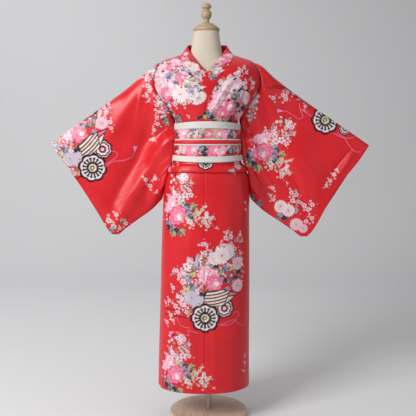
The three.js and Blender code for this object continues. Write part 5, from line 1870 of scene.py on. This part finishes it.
def turned(name, profile, x, z, sides, material):
    """Turns a piece as on a lathe: a disc is drawn up and scaled ring by ring."""
    bpy.ops.object.select_all(action="DESELECT")
    radius, height = profile[0]
    bpy.ops.mesh.primitive_circle_add(vertices=sides, radius=radius * MM, fill_type="NGON",
                                      location=(x * MM, 0, (z + height) * MM))
    piece = bpy.context.object
    piece.name = name
    piece.data.name = name
    bpy.ops.object.mode_set(mode="EDIT")
    bpy.ops.mesh.select_all(action="SELECT")
    for next_radius, next_height in profile[1:]:
        bpy.ops.mesh.extrude_region_move(
            TRANSFORM_OT_translate={"value": (0, 0, (next_height - height) * MM)})
        scale = next_radius / radius
        bpy.ops.transform.resize(value=(scale, scale, 1),
                                 center_override=(x * MM, 0, (z + next_height) * MM))
        radius, height = next_radius, next_height
    bpy.ops.mesh.select_all(action="SELECT")
    bpy.ops.mesh.normals_make_consistent(inside=False)
    bpy.ops.object.mode_set(mode="OBJECT")
    bpy.ops.object.transform_apply(location=True, rotation=True, scale=True)
    bpy.ops.object.shade_smooth_by_angle(angle=math.radians(38))
    piece.data.materials.clear()
    piece.data.materials.append(material)
    return piece


def rounded(profile):
    """The same profile with its corners drawn smoothly."""
    fine = spline(profile, lambda length: 4 * (len(profile) - 1))
    return [(max(0.6, r), h) for r, h in fine]


class KIMONO_OT_neck_cap(bpy.types.Operator):
    """Makes the turned cap and finial on the form's neck."""

    bl_idname = "kimono.neck_cap"
    bl_label = "Neck cap and finial"

    def execute(self, context):
        oak = wood("turned_wood", context.scene.kimono_form.turned)
        cap_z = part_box("neck_cap")[0][2] / MM
        finial_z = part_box("finial")[0][2] / MM
        cap = turned("neck_cap_turned", rounded(CAP_PROFILE), NECK_X, cap_z, 64, oak)
        finial = turned("finial_turned", rounded(FINIAL_PROFILE), NECK_X, finial_z, 48, oak)
        declare(cap, "neck_cap", "turned_wood")
        declare(finial, "finial", "turned_wood")
        return {"FINISHED"}


class KIMONO_OT_stand(bpy.types.Operator):
    """Makes the pole and the round foot."""

    bl_idname = "kimono.stand"
    bl_label = "Pole and foot"

    def execute(self, context):
        form = context.scene.kimono_form
        pole_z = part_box("pole")[0][2] / MM
        pole_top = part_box("pole")[1][2] / MM - pole_z
        pole = turned("pole_tube", [(11.2, 0), (12, 0.8), (12, pole_top - 0.8), (11.2, pole_top)],
                      0, pole_z, 48, metal("pole_metal", form.pole))
        inside, below = FOOT_RADIUS - FOOT_ROUND, FOOT_TALL - FOOT_ROUND
        edge = [(inside + FOOT_ROUND * math.cos(a), below + FOOT_ROUND * math.sin(a))
                for a in np.radians(np.arange(0, 91, 10))]
        foot = turned("foot_disc", [(153, 0), (154.6, 0.6), (FOOT_RADIUS, 2), *edge,
                                    (40, FOOT_TALL), (16, FOOT_TALL)],
                      0, 0, 96, wood("foot_wood", form.foot, (18, 3, 3)))
        declare(pole, "pole", "pole_metal")
        declare(foot, "foot", "foot_wood")
        return {"FINISHED"}


OPERATORS = [
    KIMONO_OT_stage, KIMONO_OT_dress_form, KIMONO_OT_neck_cap, KIMONO_OT_stand,
    KIMONO_OT_body_panels, KIMONO_OT_front_edges, KIMONO_OT_collar, KIMONO_OT_sleeves,
    KIMONO_OT_sash, KIMONO_OT_sash_bands,
]
GROUPS = {
    "kimono_cloth": KIMONO_PG_cloth,
    "kimono_sash": KIMONO_PG_sash,
    "kimono_form": KIMONO_PG_form,
    "kimono_stage": KIMONO_PG_stage,
}


class KIMONO_PT_panel(bpy.types.Panel):
    """Lists the pieces and what may be changed."""

    bl_idname = "KIMONO_PT_panel"
    bl_label = "Kimono"
    bl_space_type = "VIEW_3D"
    bl_region_type = "UI"
    bl_category = "Kimono"

    def draw(self, context):
        for operator in OPERATORS:
            self.layout.operator(operator.bl_idname)
        for group, kind in GROUPS.items():
            box = self.layout.box()
            for key in kind.__annotations__:
                box.prop(getattr(context.scene, group), key)


def register():
    for kind in [*GROUPS.values(), *OPERATORS, KIMONO_PT_panel]:
        bpy.utils.register_class(kind)
    for group, kind in GROUPS.items():
        setattr(bpy.types.Scene, group, PointerProperty(type=kind))


def unregister():
    for group in GROUPS:
        delattr(bpy.types.Scene, group)
    for kind in [KIMONO_PT_panel, *reversed(OPERATORS), *reversed(GROUPS.values())]:
        bpy.utils.unregister_class(kind)


def main():
    register()
    for operator in OPERATORS:
        group, name = operator.bl_idname.split(".")
        getattr(getattr(bpy.ops, group), name)()


if __name__ == "__main__":
    main()
